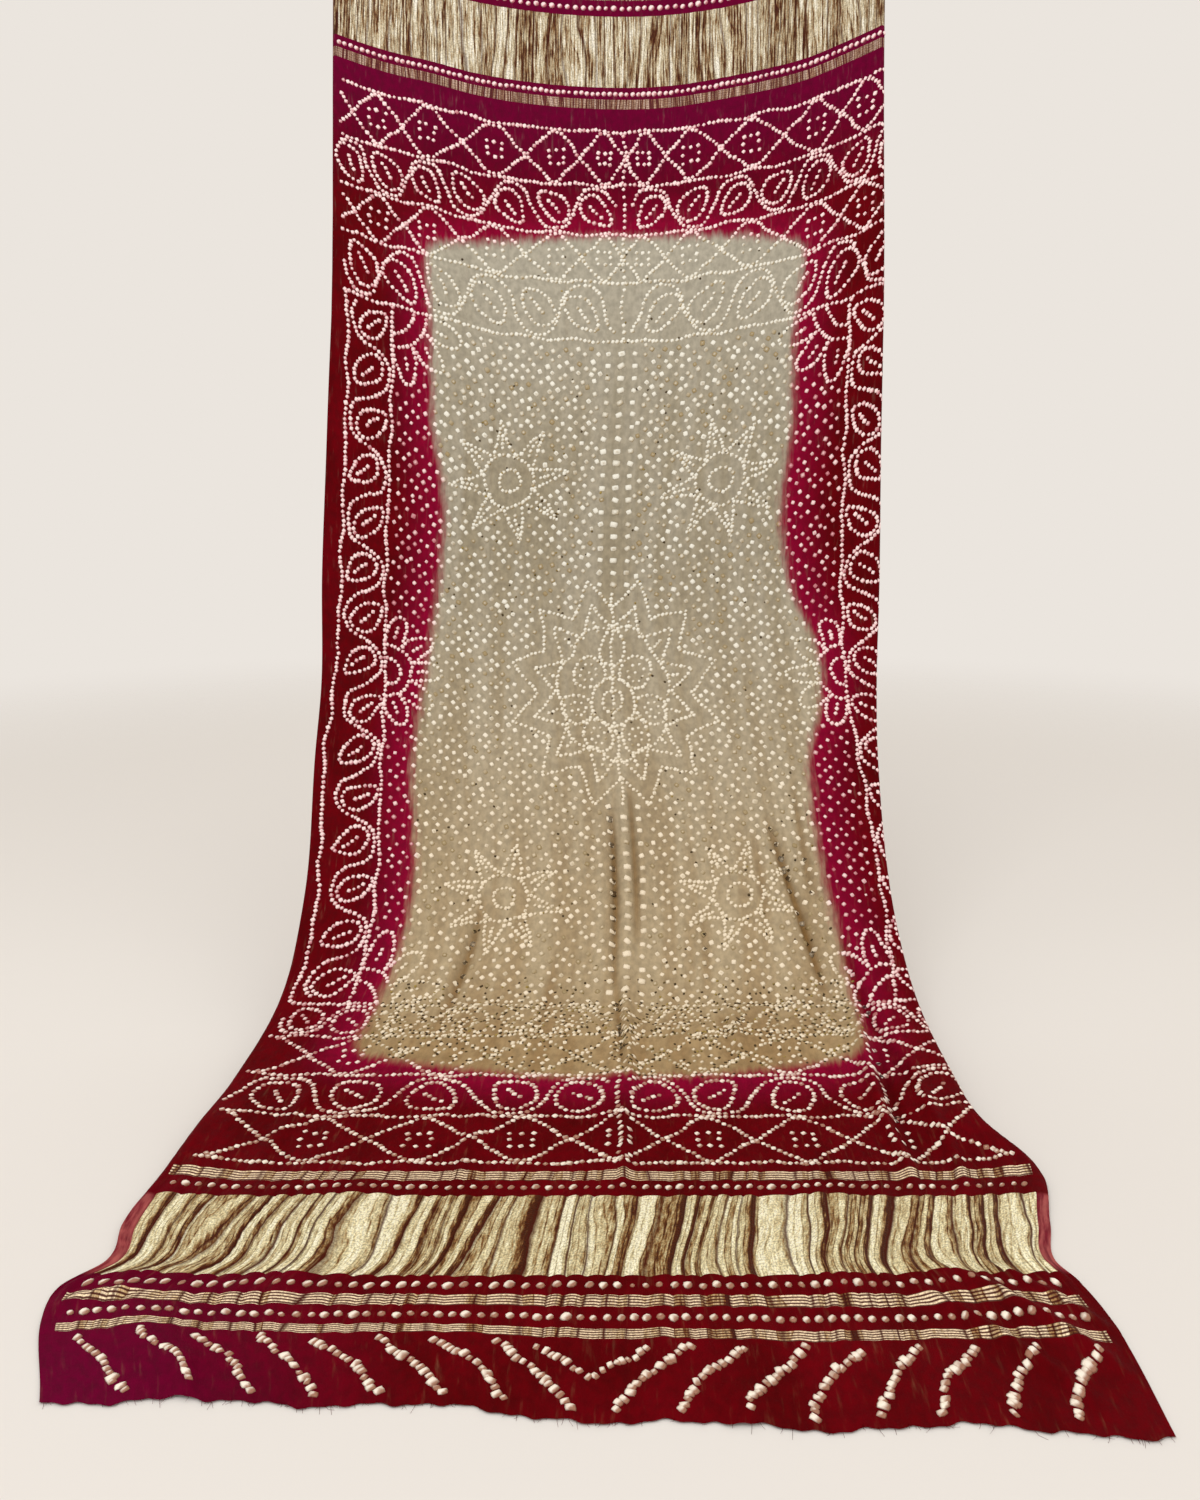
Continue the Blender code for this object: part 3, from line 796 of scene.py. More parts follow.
zari_shader = add_node(tree, "BsdfPrincipled", {
    "Base Color": zari_colour, "Metallic": metal_share, "Roughness": zari_roughness,
    "Specular IOR Level": 0.12, "Normal": zari_bump.outputs["Normal"],
})
tree.links.new(zari_shader.outputs["BSDF"], output.inputs["Surface"])

stripe_faces, (points, across, down) = used_only(all_faces[gilded], grid_points, grid_across, grid_down)
gold = make_piece("zari_stripes", points, stripe_faces, zari)
set_map(gold.data, across, down)
stripe_width = (stripes["ends"] - stripes["begins"])[None, :]
stripe_share = (down[:, None] - stripes["begins"]) / stripe_width
inside = (stripe_share > -ROUNDING) & (stripe_share < 1.0 + ROUNDING)
narrow = (inside & (stripe_width < WIDE_STRIPE)).any(axis=1)
at_near = (down > FAR_END).astype(int)
phases = pleat_phase(across, down) * np.where(narrow, np.array(NARROW_CREASES)[at_near], 1.0)
set_values(gold.data, "pleat", phases)
set_values(gold.data, "fine", phases * np.array(FINE_CREASES)[at_near])
set_values(gold.data, "near_end", at_near)
set_values(gold.data, "narrow", narrow)
set_values(gold.data, "line_phase", narrow * (stripe_share * NARROW_LINES * inside).sum(axis=1))

# ------------------------------------------------------------------------------------------------
# The tied dots. Each is a pinch of cloth bound with thread before dyeing, which stays pale and keeps
# a small nub. Rows of touching ties draw the lines, and single ties fill the field.
# ------------------------------------------------------------------------------------------------
LINE_PITCH = 0.0068
LINE_HALF = 0.0032
SINGLE_HALF = (0.0043, 0.0038)      # single ties at the field's far and near ends
SINGLE_FROM = (0.7, 1.7)
LINE_STRAY = 0.0005         # how far a tie strays from its drawn place
FIELD_STRAY = 0.0015
STRIP_STRAY = 0.0015
LINE_UNEVEN = 0.10
SIZE_STRAY = 0.09
TURN_STRAY = 0.30
DIAGONAL = np.pi / 4.0      # a tie is pinched at a corner, so its square stands on one
# Painted shade: every second tie of a line is painted duller, as if its crown turned from the light.
EVERY_OTHER = 0.12          # every second tie of a line turns its crown away and looks duller
FULL_TURN = 2.0 * np.pi
TIE_HALF, TIE_STRETCH, TIE_TURN, TIE_SHADE = 2, 3, 4, 5      # columns of a tie's row, after its place
chance = np.random.default_rng(11)


def dots_at(across, down, half, stretch=1.0, turn=DIAGONAL, uneven=LINE_UNEVEN, stray_by=LINE_STRAY):
    """One row a tie: across, down, half, stretch, turn and shade, each a little off what is given."""
    across, down, half, stretch, turn = np.broadcast_arrays(across, down, half, stretch, turn)
    dots = np.stack([values.ravel() for values in (across, down, half, stretch, turn, half)], axis=-1)
    stray = chance.normal(size=(len(dots), 5))
    dots[:, :2] += stray_by * stray[:, :2]
    dots[:, TIE_HALF] *= 1.0 + SIZE_STRAY * stray[:, 2]
    dots[:, TIE_TURN] += TURN_STRAY * stray[:, 3]
    dots[:, TIE_SHADE] = 1.0 - uneven * np.abs(stray[:, 4])
    return dots


HAND_WAVES = ((0.118, 0.093, 0.0016, 0.7), (0.052, 0.067, 0.0010, 3.1))     # lengths, reach, start


def by_hand(path):
    """The path as a hand draws it: pushed sideways by slow waves of its place on the cloth."""
    across, down = path[:, 0], path[:, 1]
    push = np.zeros_like(path)
    for length_across, length_down, reach, start in HAND_WAVES:
        push[:, 0] += reach * np.sin(FULL_TURN * (down / length_down + across / length_across) + start)
        turned = FULL_TURN * (across / length_down - down / length_across)
        push[:, 1] += reach * np.sin(turned + 2.0 * start)
    return path + push


def dots_along(path, pitch=LINE_PITCH, half=LINE_HALF, stretch=1.0, uneven=LINE_UNEVEN, corner=DIAGONAL):
    """Ties at equal steps along a path of (across, down) points, each turned to follow it."""
    steps = np.diff(path, axis=0)
    reach = np.concatenate(([0.0], np.cumsum(np.hypot(steps[:, 0], steps[:, 1]))))
    count = max(int(round(reach[-1] / pitch)), 1)
    at = (np.arange(count) + 0.5) * reach[-1] / count
    across = np.interp(at, reach, path[:, 0])
    down = np.interp(at, reach, path[:, 1])
    cell = np.clip(np.searchsorted(reach, at) - 1, 0, len(steps) - 1)
    turn = np.arctan2(steps[cell, 1], steps[cell, 0]) + corner
    across, down = by_hand(np.stack((across, down), axis=-1)).T
    dots = dots_at(across, down, half, stretch, turn, uneven)
    dots[::2, TIE_SHADE] -= EVERY_OTHER
    dots[1::2, TIE_SHADE] += EVERY_OTHER / 2.0
    return dots


def line(*places):
    """A path straight from each (across, down) place to the next."""
    return np.array(places, dtype=float)


OVAL_POINTS = 97
LOBE_POINTS = 24
LEAF_POINTS = 61
LEAF_SWELL = 0.58
LEAF_TAPER = 0.55


def arc_path(middle, reach_across, reach_down, begins=0.0, ends=FULL_TURN):
    """A path on an oval, from one clock angle to another: 0 points to the top edge, then right."""
    angle = np.linspace(begins, ends, OVAL_POINTS)
    across = middle[0] + reach_across * np.sin(angle)
    return np.stack((across, middle[1] - reach_down * np.cos(angle)), axis=-1)


def zigzag(middle, reach_across, reach_down, petals, valley, begins=0.0, ends=FULL_TURN):
    """A path of pointed petals on an oval: valleys at a share of its size, tips between them."""
    angle = np.linspace(begins, ends, 2 * petals + 1)
    share = np.where(np.arange(2 * petals + 1) % 2 == 1, 1.0, valley)
    across = middle[0] + reach_across * share * np.sin(angle)
    return np.stack((across, middle[1] - reach_down * share * np.cos(angle)), axis=-1)


def lobes(middle, reach, petals, valley, begins=0.0, ends=FULL_TURN):
    """A path of round petals on a circle: 1 - |2f - 1|^2 over each petal's share f, above the valley."""
    angle = np.linspace(begins, ends, LOBE_POINTS * petals + 1)
    share = np.abs(2.0 * ((angle - begins) / (ends - begins) * petals % 1.0) - 1.0)
    out = reach * (valley + (1.0 - valley) * (1.0 - share ** 2.0))
    return np.stack((middle[0] + out * np.sin(angle), middle[1] - out * np.cos(angle)), axis=-1)


def leaf(middle, width, length, points_to):
    """A teardrop: cos t along its axis and sin t times a power of sin(t/2) beside it, t round it."""
    t = np.linspace(0.0, FULL_TURN, LEAF_POINTS)
    along = 0.5 * length * np.cos(t)
    beside = LEAF_SWELL * width * np.sin(t) * np.sin(t / 2.0) ** LEAF_TAPER
    axis = np.array((np.sin(points_to), -np.cos(points_to)))
    side = np.array((-axis[1], axis[0]))
    return np.asarray(middle) + along[:, None] * axis + beside[:, None] * side


drawn = []                  # ties of every figure and line, which single ties keep clear of
plain_grounds = []          # outlines that hold no single ties

# Bands of lines across each end, counted from the field outward.
FAR_LINES = (0.6748, 0.5822, 0.5063, 0.4285, 0.3424)
NEAR_LINES = (1.7326, 1.7911, 1.8625, 1.9376, 2.0220)
LINE_REACH = 0.436
OUTER_LINE = 0.436
INNER_LINE = 0.360
FAR_DIAMONDS = (0.030, 0.1045, 0.200, 0.303, 0.380, 0.452)
NEAR_DIAMONDS = (0.000, 0.103, 0.212, 0.322, 0.426)
FAR_LEAVES = (0.043, 0.110, 0.176, 0.243, 0.304, 0.366, 0.420)
FAR_LARGE_LEAVES = (0.063, 0.134, 0.208, 0.281, 0.345, 0.405)
NEAR_LEAVES = (0.041, 0.118, 0.207, 0.298, 0.383)
CENTRE_LINE_PITCH = 0.0098
TIP_FLATNESS = 1.18         # above 1 the diamonds' tips are cut flat
DIAMOND_POINTS = 500
DIAMOND_SHARE = 0.45        # of the band's depth, above and below its middle
TIGHT_RING = 0.82           # the rings beside the middle line are tied closer
RING_SPACING = 0.0116
RING_STRAY = 0.00105
RING = ((-1, -1), (-1, 0), (-1, 1), (0, -1), (0, 1), (1, -1), (1, 0), (1, 1))


def diamond_band(first, second, middles):
    """Two crossing zigzags between two lines, with a ring of eight ties in each diamond."""
    on_right = np.array(middles)
    tips = np.concatenate((-on_right[::-1], on_right[on_right > 0.0]))
    at = np.linspace(max(tips[0], -LINE_REACH), min(tips[-1], LINE_REACH), DIAMOND_POINTS)
    zigzag_wave = np.interp(at, tips, np.where(np.arange(len(tips)) % 2 == 0, 1.0, -1.0))
    wave = np.clip(zigzag_wave * TIP_FLATNESS, -1.0, 1.0)
    middle = (first + second) / 2.0
    reach = DIAMOND_SHARE * (second - first)
    for side in (-1.0, 1.0):
        drawn.append(dots_along(np.stack((at, middle + side * reach * wave), axis=-1)))
    for place in on_right[:-1]:
        for side in (-1.0, 1.0) if place > 0.0 else (1.0,):
            spacing = RING_SPACING * (TIGHT_RING if place == FAR_DIAMONDS[0] else 1.0)
            ring = np.array(RING, dtype=float)
            ring_across = side * place + ring[:, 1] * spacing
            ring_down = middle + ring[:, 0] * spacing
            drawn.append(dots_at(ring_across, ring_down, LINE_HALF, stray_by=RING_STRAY))


LEAN_SHARES = (1.0, 0.55)   # leaves by the middle line lean most
LEAF_DASH = 0.26            # half length of the dash in a leaf, as a share of the leaf
VINE_POINTS = 400


def lay_across(path, side):
    """Lays a path drawn along its own length across the cloth, to one side of the middle line."""
    return path * np.array((side, 1.0))


def lay_down(path, side):
    """Lays a path drawn along its own length down one side border."""
    return np.stack((side * path[:, 1], path[:, 0]), axis=-1)


def vine(places, middle, reach, leaf_off, leaf_size, begins, ends, lean, first_side, lay, on_side):
    """A stem that bends round each leaf in turn: w * sqrt(1.5 / (w^2 + 0.5)) of a cosine w."""
    leaf_width, leaf_length = leaf_size
    at = np.linspace(begins, ends, VINE_POINTS)
    phase = np.pi * np.interp(at, places, np.arange(len(places)))
    phase = phase + np.pi * np.minimum(at - places[0], 0.0) / (places[1] - places[0])
    phase = phase + np.pi * np.maximum(at - places[-1], 0.0) / (places[-1] - places[-2])
    wave = first_side * np.cos(phase)
    stem = -reach * wave * np.sqrt(1.5 / (wave ** 2 + 0.5))
    drawn.append(dots_along(lay(np.stack((at, middle + stem), axis=-1), on_side)))
    for number, place in enumerate(places):
        side = first_side if number % 2 == 0 else -first_side
        centre = np.array((place, middle + side * leaf_off))
        leans = lean * np.interp(number, (0, len(places) - 1), LEAN_SHARES)
        axis = side * np.array((leans, 1.0)) / np.hypot(leans, 1.0)
        outline = leaf(centre, leaf_width, leaf_length, np.arctan2(axis[0], -axis[1]))
        drawn.append(dots_along(lay(outline, on_side)))
        dash = LEAF_DASH * leaf_length * axis
        drawn.append(dots_along(lay(np.stack((centre - dash, centre + dash)), on_side)))


# Shares of a vine's own band: how far its stem swings, how far its leaves sit off its middle, and
# their length. Their width is a share of the space between two leaves.
STEM_SWING = 0.43
LEAF_OFF = 0.05
LEAF_LENGTH = 0.74
LEAF_WIDTH = 0.62
VINE_START = 0.012
for lines, middles, leaves, large_leaves, lean in (
    (FAR_LINES, FAR_DIAMONDS, FAR_LEAVES, FAR_LARGE_LEAVES, -1.0),
    (NEAR_LINES, NEAR_DIAMONDS, NEAR_LEAVES, FAR_LARGE_LEAVES, -1.7),
):
    for down in lines:
        drawn.append(dots_along(line((-LINE_REACH, down), (LINE_REACH, down))))
    diamond_band(lines[4], lines[3], middles)
    diamond_band(lines[2], lines[1], middles)
    for places, first, second in ((leaves, lines[3], lines[2]), (large_leaves, lines[1], lines[0])):
        band = abs(second - first)
        middle = (first + second) / 2.0
        spread = (places[-1] - places[0]) / (len(places) - 1)
        leaf_size = (LEAF_WIDTH * spread, LEAF_LENGTH * band)
        for side in (-1.0, 1.0):
            vine(
                places, middle, STEM_SWING * band, LEAF_OFF * band, leaf_size,
                VINE_START, LINE_REACH, lean, 1.0, lay_across, side,
            )
    drawn.append(dots_along(line((0.0, min(lines)), (0.0, max(lines))), pitch=CENTRE_LINE_PITCH))

# The side borders: a vine between two lines, down both sides of the field.
SIDE_LEAF_PITCH = 0.0725
SIDE_MIDDLE = 0.3945
SIDE_SWING = 0.0290
SIDE_LEAF_OFF = 0.006
SIDE_LEAF = (0.036, 0.056)      # width and length
SIDE_INSET = 0.01
side_begin, side_end = FAR_LINES[0], NEAR_LINES[0]
side_count = int(round((side_end - side_begin) / SIDE_LEAF_PITCH))
side_places = side_begin + (np.arange(side_count) + 0.5) * (side_end - side_begin) / side_count
LEFT_LINE = ((-0.431, side_begin), (-0.430, 1.10), (-0.446, 1.33), (-0.444, 1.52), (-0.436, side_end))
drawn.append(dots_along(np.array(LEFT_LINE)))
drawn.append(dots_along(line((OUTER_LINE, side_begin), (OUTER_LINE, side_end))))
for side in (-1.0, 1.0):
    drawn.append(dots_along(line((side * INNER_LINE, side_begin), (side * INNER_LINE, side_end))))
    vine(
        side_places, SIDE_MIDDLE, SIDE_SWING, SIDE_LEAF_OFF, SIDE_LEAF,
        side_begin + SIDE_INSET, side_end - SIDE_INSET, 1.0, -1.0, lay_down, side,
    )

# Flowers: two rings round a plain eye and pointed petals with a dash in each. Some are cut by a
# border line to a half or a quarter. Angles are in degrees, clockwise from the top edge.
# Columns: place across and down, radii of the two rings, reach, number of petals and the angles.
FLOWERS = (
    ("far left star",    -0.170, 0.902, 0.0180, 0.040, 0.096, 8, 11, 371),
    ("far right star",   0.165, 0.902, 0.0180, 0.039, 0.094, 8, 11, 371),
    ("near left star",   -0.177, 1.566, 0.0170, 0.036, 0.086, 8, -8, 352),
    ("near right star",  0.158, 1.562, 0.0170, 0.036, 0.086, 8, -8, 352),
    ("far left corner",  -0.360, 0.678, 0.036, 0.056, 0.112, 3, 90, 180),
    ("far right corner", 0.360, 0.678, 0.036, 0.056, 0.112, 3, 180, 270),
    ("near left corner", -0.360, 1.730, 0.036, 0.056, 0.112, 3, 0, 90),
    ("near right corner", 0.360, 1.730, 0.036, 0.056, 0.112, 3, 270, 360),
    ("left half",        -0.360, 1.215, 0.022, 0.042, 0.090, 5, 0, 180),
    ("right half",       0.360, 1.215, 0.022, 0.042, 0.090, 5, 180, 360),
)
VALLEY_OFF = 1.05           # valleys between petals, in radii of the outer ring
PETAL_DASH = (1.22, 0.80)   # a dash runs from so many radii of that ring to this share of the reach
for name, across, down, inner_ring, outer_ring, reach, petals, begins, ends in FLOWERS:
    begins, ends = np.radians((begins, ends))
    middle = (across, down)
    for radius in (inner_ring, outer_ring):
        drawn.append(dots_along(arc_path(middle, radius, radius, begins, ends)))
    valley = outer_ring * VALLEY_OFF / reach
    whole = ends - begins > np.pi * 1.5
    outline = zigzag(middle, reach, reach, petals, valley, begins, ends)
    if not whole:
        outline = lobes(middle, reach, petals, valley, begins, ends)
    drawn.append(dots_along(outline))
    plain_grounds.append(np.concatenate((outline, [middle])))
    for petal in range(petals):
        angle = begins + (petal + 0.5) * (ends - begins) / petals
        axis = np.array((np.sin(angle), -np.cos(angle)))
        dash = np.stack((axis * outer_ring * PETAL_DASH[0], axis * reach * PETAL_DASH[1]))
        drawn.append(dots_along(np.asarray(middle) + dash))

# The middle flower: a twelve-pointed star, a second one inside it with a dash in each petal, a lobed
# outline, and a rosette of five round petals and a pointed one, cut by an upright stem.
FLOWER_MIDDLE = (0.0, 1.2374)
STAR_REACH = (0.163, 0.190)
STAR_PETALS = 12
INNER_STAR = 0.79           # share of the outer star
STAR_VALLEYS = (0.74, 0.70)     # of the outer and the inner star
STAR_DASH = (0.54, 0.66)
CLOUD_POINTS = 241
CLOUD_SIZE = (0.087, 0.112)
CLOUD_LOBES = 3.5           # half their number
CLOUD_SWELL = (0.90, 0.13)
EYE_BELOW = 0.014           # the eye lies this far below the flower's middle
EYE_RINGS = ((0.016, 0.018), (0.035, 0.038))
TOP_PETAL = (-0.080, 0.040, 0.066)      # place down from the middle, width and length
STEM_ENDS = (-0.168, 0.186)
FILLING = 0.50              # share of a rosette petal where its filling is tied
FILLING_PITCH = 0.0095
FILLING_HALF = LINE_HALF * 0.85
inner_reach = (STAR_REACH[0] * INNER_STAR, STAR_REACH[1] * INNER_STAR)
star = zigzag(FLOWER_MIDDLE, *STAR_REACH, STAR_PETALS, STAR_VALLEYS[0])
drawn.append(dots_along(star))
plain_grounds.append(star)
drawn.append(dots_along(zigzag(FLOWER_MIDDLE, *inner_reach, STAR_PETALS, STAR_VALLEYS[1])))
for petal in range(STAR_PETALS):
    angle = (petal + 0.5) * FULL_TURN / STAR_PETALS
    axis = np.array((STAR_REACH[0] * np.sin(angle), -STAR_REACH[1] * np.cos(angle)))
    drawn.append(dots_along(np.asarray(FLOWER_MIDDLE) + np.outer(STAR_DASH, axis)))
cloud_angle = np.linspace(0.0, FULL_TURN, CLOUD_POINTS)
cloud_reach = CLOUD_SWELL[0] + CLOUD_SWELL[1] * np.abs(np.sin(CLOUD_LOBES * cloud_angle))
cloud_across = CLOUD_SIZE[0] * cloud_reach * np.sin(cloud_angle)
cloud = np.stack((cloud_across, -CLOUD_SIZE[1] * cloud_reach * np.cos(cloud_angle)), axis=-1)
drawn.append(dots_along(np.asarray(FLOWER_MIDDLE) + cloud))
ROSETTE = (
    ("upper", 0.036, -0.034, 0.0250, 0.0250),
    ("side",  0.057, 0.027, 0.0235, 0.0250),
    ("lower", 0.028, 0.071, 0.0215, 0.0270),
)
eye = (FLOWER_MIDDLE[0], FLOWER_MIDDLE[1] + EYE_BELOW)
for ring_reach in EYE_RINGS:
    drawn.append(dots_along(arc_path(eye, *ring_reach)))
drawn.append(dots_along(leaf((0.0, FLOWER_MIDDLE[1] + TOP_PETAL[0]), *TOP_PETAL[1:], 0.0)))
drawn.append(dots_along(line(*((0.0, FLOWER_MIDDLE[1] + stem_end) for stem_end in STEM_ENDS))))
for name, across, down, reach_across, reach_down in ROSETTE:
    for side in (-1.0, 1.0):
        middle = (side * across, FLOWER_MIDDLE[1] + down)
        drawn.append(dots_along(arc_path(middle, reach_across, reach_down)))
        filling = arc_path(middle, reach_across * FILLING, reach_down * FILLING)
        drawn.append(dots_along(filling, pitch=FILLING_PITCH, half=FILLING_HALF))
        drawn.append(dots_at(middle[0], middle[1], FILLING_HALF))
figures = np.concatenate(drawn)


def inside_outline(across, down, outline):
    """Counts how often a line to the right of each place crosses the outline: odd is inside."""
    inside = np.zeros(across.shape, dtype=bool)
    for (across_a, down_a), (across_b, down_b) in zip(outline, np.roll(outline, -1, axis=0)):
        spans = (down_a > down) != (down_b > down)
        with np.errstate(divide="ignore", invalid="ignore"):
            crossing = across_a + (down - down_a) / (down_b - down_a) * (across_b - across_a)
        inside ^= spans & (across < crossing)
    return inside


def clear_of_figures(dots, gap):
    """The ties that lie outside every plain ground and at least a gap from every figure's tie."""
    keep = np.ones(len(dots), dtype=bool)
    for outline in plain_grounds:
        keep &= ~inside_outline(dots[:, 0], dots[:, 1], outline)
    dots = dots[keep]
    nearest = np.full(len(dots), np.inf)
    for part in np.array_split(figures, FIGURE_PARTS):
        distance = np.hypot(dots[:, None, 0] - part[None, :, 0], dots[:, None, 1] - part[None, :, 1])
        nearest = np.minimum(nearest, distance.min(axis=1))
    return dots[nearest > gap]


# Single ties: a staggered lattice over the field, wider apart beyond the covered middle, and a
# column of larger ties down the middle line.
LATTICE_PITCH = 0.0097
STRIP_PITCH = 0.0102
STRIP_SIZE = 0.82
STRIP_DULL = 0.14           # the crimson crept into these ties and left them pinker
CENTRE_PITCH = 0.0192
# Each column's place across, half width of a tie and stretch.
CENTRE_COLUMNS = ((0.0, 0.0064, 0.74), (-0.0215, 0.0050, 0.85), (0.0215, 0.0050, 0.85))
CENTRE_CLEAR = 0.0300
FIGURE_GAP = 0.0080
STRIP_MARGIN = 0.006        # the covered middle counts this much wider for the crimson strips
FIELD_STRETCH, FIELD_UNEVEN = 0.90, 0.26
STRIP_STRETCH, STRIP_UNEVEN = 0.95, 0.20
CENTRE_UNEVEN = 0.14
FIGURE_PARTS = 40           # figures are compared in so many parts, to save memory


def lattice(pitch, reach, begins, ends):
    """Places of a staggered lattice: every other column is a step lower, two steps between rows."""
    columns = np.arange(-int(reach / pitch), int(reach / pitch) + 1)
    rows = np.arange(int((ends - begins) / (2.0 * pitch)))
    across = np.repeat(columns[:, None] * pitch, len(rows), axis=1)
    down = begins + 2.0 * pitch * rows[None, :] + pitch * (columns[:, None] % 2)
    return across, down + 0.5 * pitch


def single_half(down):
    """Half width of a single tie, smaller toward the near end."""
    return np.interp(down, SINGLE_FROM, SINGLE_HALF)


across, down = lattice(LATTICE_PITCH, INNER_LINE, side_begin, NEAR_LINES[1])
across, down = by_hand(np.stack((across.ravel(), down.ravel()), axis=-1)).T
field_dots = dots_at(
    across, down, single_half(down), FIELD_STRETCH, uneven=FIELD_UNEVEN, stray_by=FIELD_STRAY,
)
covered = dye_cover(field_dots[:, 0], field_dots[:, 1], 0.0, FIELD_SOFT) > 0.5
on_centre = (np.abs(field_dots[:, 0]) < CENTRE_CLEAR) & (field_dots[:, 1] < NEAR_LINES[0])
field_dots = clear_of_figures(field_dots[covered & ~on_centre], FIGURE_GAP)
across, down = lattice(STRIP_PITCH, INNER_LINE, side_begin, side_end)
across, down = by_hand(np.stack((across.ravel(), down.ravel()), axis=-1)).T
strip_half = single_half(down) * STRIP_SIZE
strip_dots = dots_at(
    across, down, strip_half, STRIP_STRETCH, uneven=STRIP_UNEVEN, stray_by=STRIP_STRAY,
)
strip_dots[:, TIE_SHADE] -= STRIP_DULL
covered = dye_cover(strip_dots[:, 0], strip_dots[:, 1], STRIP_MARGIN, FIELD_SOFT) > 0.5
strip_dots = clear_of_figures(strip_dots[~covered], FIGURE_GAP)
down = np.arange(side_begin + CENTRE_PITCH, side_end, CENTRE_PITCH)
columns = [
    dots_at(across, down, half, stretch, 0.0, uneven=CENTRE_UNEVEN)
    for across, half, stretch in CENTRE_COLUMNS
]
centre_dots = clear_of_figures(np.concatenate(columns), FIGURE_GAP)

# Rows of ties on the red beside the gold stripes, and the slanting chains of the end borders.
# Columns: place down, pitch, half width of a tie and how uneven they are.
ROWS_OF_TIES = (
    ("far outer row",   0.1086, 0.0114, 0.0042, 0.08),
    ("far second row",  0.1480, 0.0120, 0.0042, 0.08),
    ("far inner row",   0.2835, 0.0088, 0.0040, 0.06),
    ("near inner row",  2.0665, 0.0123, 0.0042, 0.24),
    ("near second row", 2.2156, 0.0134, 0.0046, 0.28),
    ("near outer row",  2.2548, 0.0118, 0.0044, 0.24),
)
ROW_REACH = 0.437
CHAIN_FIRST = 0.084
CHAIN_SPACING = 0.0495
CHAIN_COUNT = 8
CHAIN_LEANS = (0.066, 0.040)    # how far a chain leans to the middle line, first and last
CHAIN_BEND = 0.008
CHAIN_POINTS = 20
CHAIN_PITCH = 0.0064
CHAIN_HALF = 0.0036
CHAIN_STRETCH = 1.40
CHAIN_UNEVEN = 0.16
CHAIN_STRAY = 0.0009
DULL_RANGE = (0.55, 1.0)        # the dullest large ties are also the smallest
DULL_SIZE = (0.80, 1.05)
CHAIN_ENDS = ((2.2850, 2.3530), (0.0780, 0.0100))
VEE_SIZE = 0.9                  # its ties, as a share of a chain's
VEE_REACH = (0.047, 0.50)       # how far the middle chevron spreads, and its share of a chain's depth
rows, chains = [], []
for name, down, pitch, half, uneven in ROWS_OF_TIES:
    places = np.arange(-ROW_REACH, ROW_REACH, pitch)
    rows.append(dots_at(places, down, half, 1.0, DIAGONAL, uneven))
share = np.linspace(0.0, 1.0, CHAIN_POINTS)
for begins, ends in CHAIN_ENDS:
    depth = ends - begins
    vee = line((-VEE_REACH[0], begins), (0.0, begins + VEE_REACH[1] * depth), (VEE_REACH[0], begins))
    chains.append(dots_along(vee, CHAIN_PITCH, CHAIN_HALF * VEE_SIZE, CHAIN_STRETCH, CHAIN_UNEVEN, 0.0))
    for number in range(CHAIN_COUNT):
        lean = np.interp(number, (0, CHAIN_COUNT - 1), CHAIN_LEANS)
        for side in (-1.0, 1.0):
            reach = lean * share + CHAIN_BEND * np.sin(np.pi * share)
            across = side * (CHAIN_FIRST + CHAIN_SPACING * number - reach)
            path = np.stack((across, begins + depth * share), axis=-1)
            chains.append(dots_along(path, CHAIN_PITCH, CHAIN_HALF, CHAIN_STRETCH, CHAIN_UNEVEN, 0.0))
row_dots, chain_dots = np.concatenate(rows), np.concatenate(chains)
chain_dots[:, :2] += CHAIN_STRAY * chance.normal(size=(len(chain_dots), 2))
for dots in (row_dots, chain_dots):
    dots[:, TIE_HALF] *= np.interp(dots[:, TIE_SHADE], DULL_RANGE, DULL_SIZE)


def on_cloth(across, down, lift):
    """Points on the drawn cloth's own grid, between its corners, raised along its face by lift."""
    column = np.clip((across / HALF_WIDTH + 1.0) * COLUMN_COUNT / 2.0, 0.0, COLUMN_COUNT - ROUNDING)
    row = np.clip(np.interp(down, row_down, np.arange(len(row_down))), 0.0, len(row_down) - 1.0 - ROUNDING)
    left = column.astype(int)
    upper = row.astype(int)
    side = (column - left)[..., None]
    below = (row - upper)[..., None]
    grid = np.concatenate((grid_points, grid_normals), axis=-1)
    upper_side = (1.0 - side) * grid[upper, left] + side * grid[upper, left + 1]
    lower_side = (1.0 - side) * grid[upper + 1, left] + side * grid[upper + 1, left + 1]
    mixed = (1.0 - below) * upper_side + below * lower_side
    return mixed[..., :3] + lift * mixed[..., 3:]


# Tied crepe: undyed silk crepe, ivory where it kept the cover's beige around it and pinkish where red
# crept in. The bound pinch keeps a pale crown and a rim that takes some dye, and a shaded one looks
# pink on the hanging part and brown on the floor, where the light comes over its far side.
tied, tree, output = new_material("undyed_tied_crepe")
tie = {
    name: add_node(tree, "Attribute", attribute_name=name).outputs["Fac"]
    for name in ("shade", "beige", "crown")
}
down = cloth_down(tree)
lit, in_field, crown, toward_near, lying = (
    add_node(tree, "MapRange", (value, low, high), **EASED).outputs[0]
    for value, low, high in (
        (tie["shade"], 0.45, 0.98), (tie["beige"], 0.35, 0.75), (tie["crown"], -0.10, 0.26),
        (down, 1.0, 1.6), (down, 1.60, 2.05),
    )
)
lit_beige = add_node(
    tree, "Mix", {SHARE: toward_near, UNDER: from_hex("EEECE0"), OVER: from_hex("F4E6CC")}, **LAID_OVER,
).outputs[MIXED]
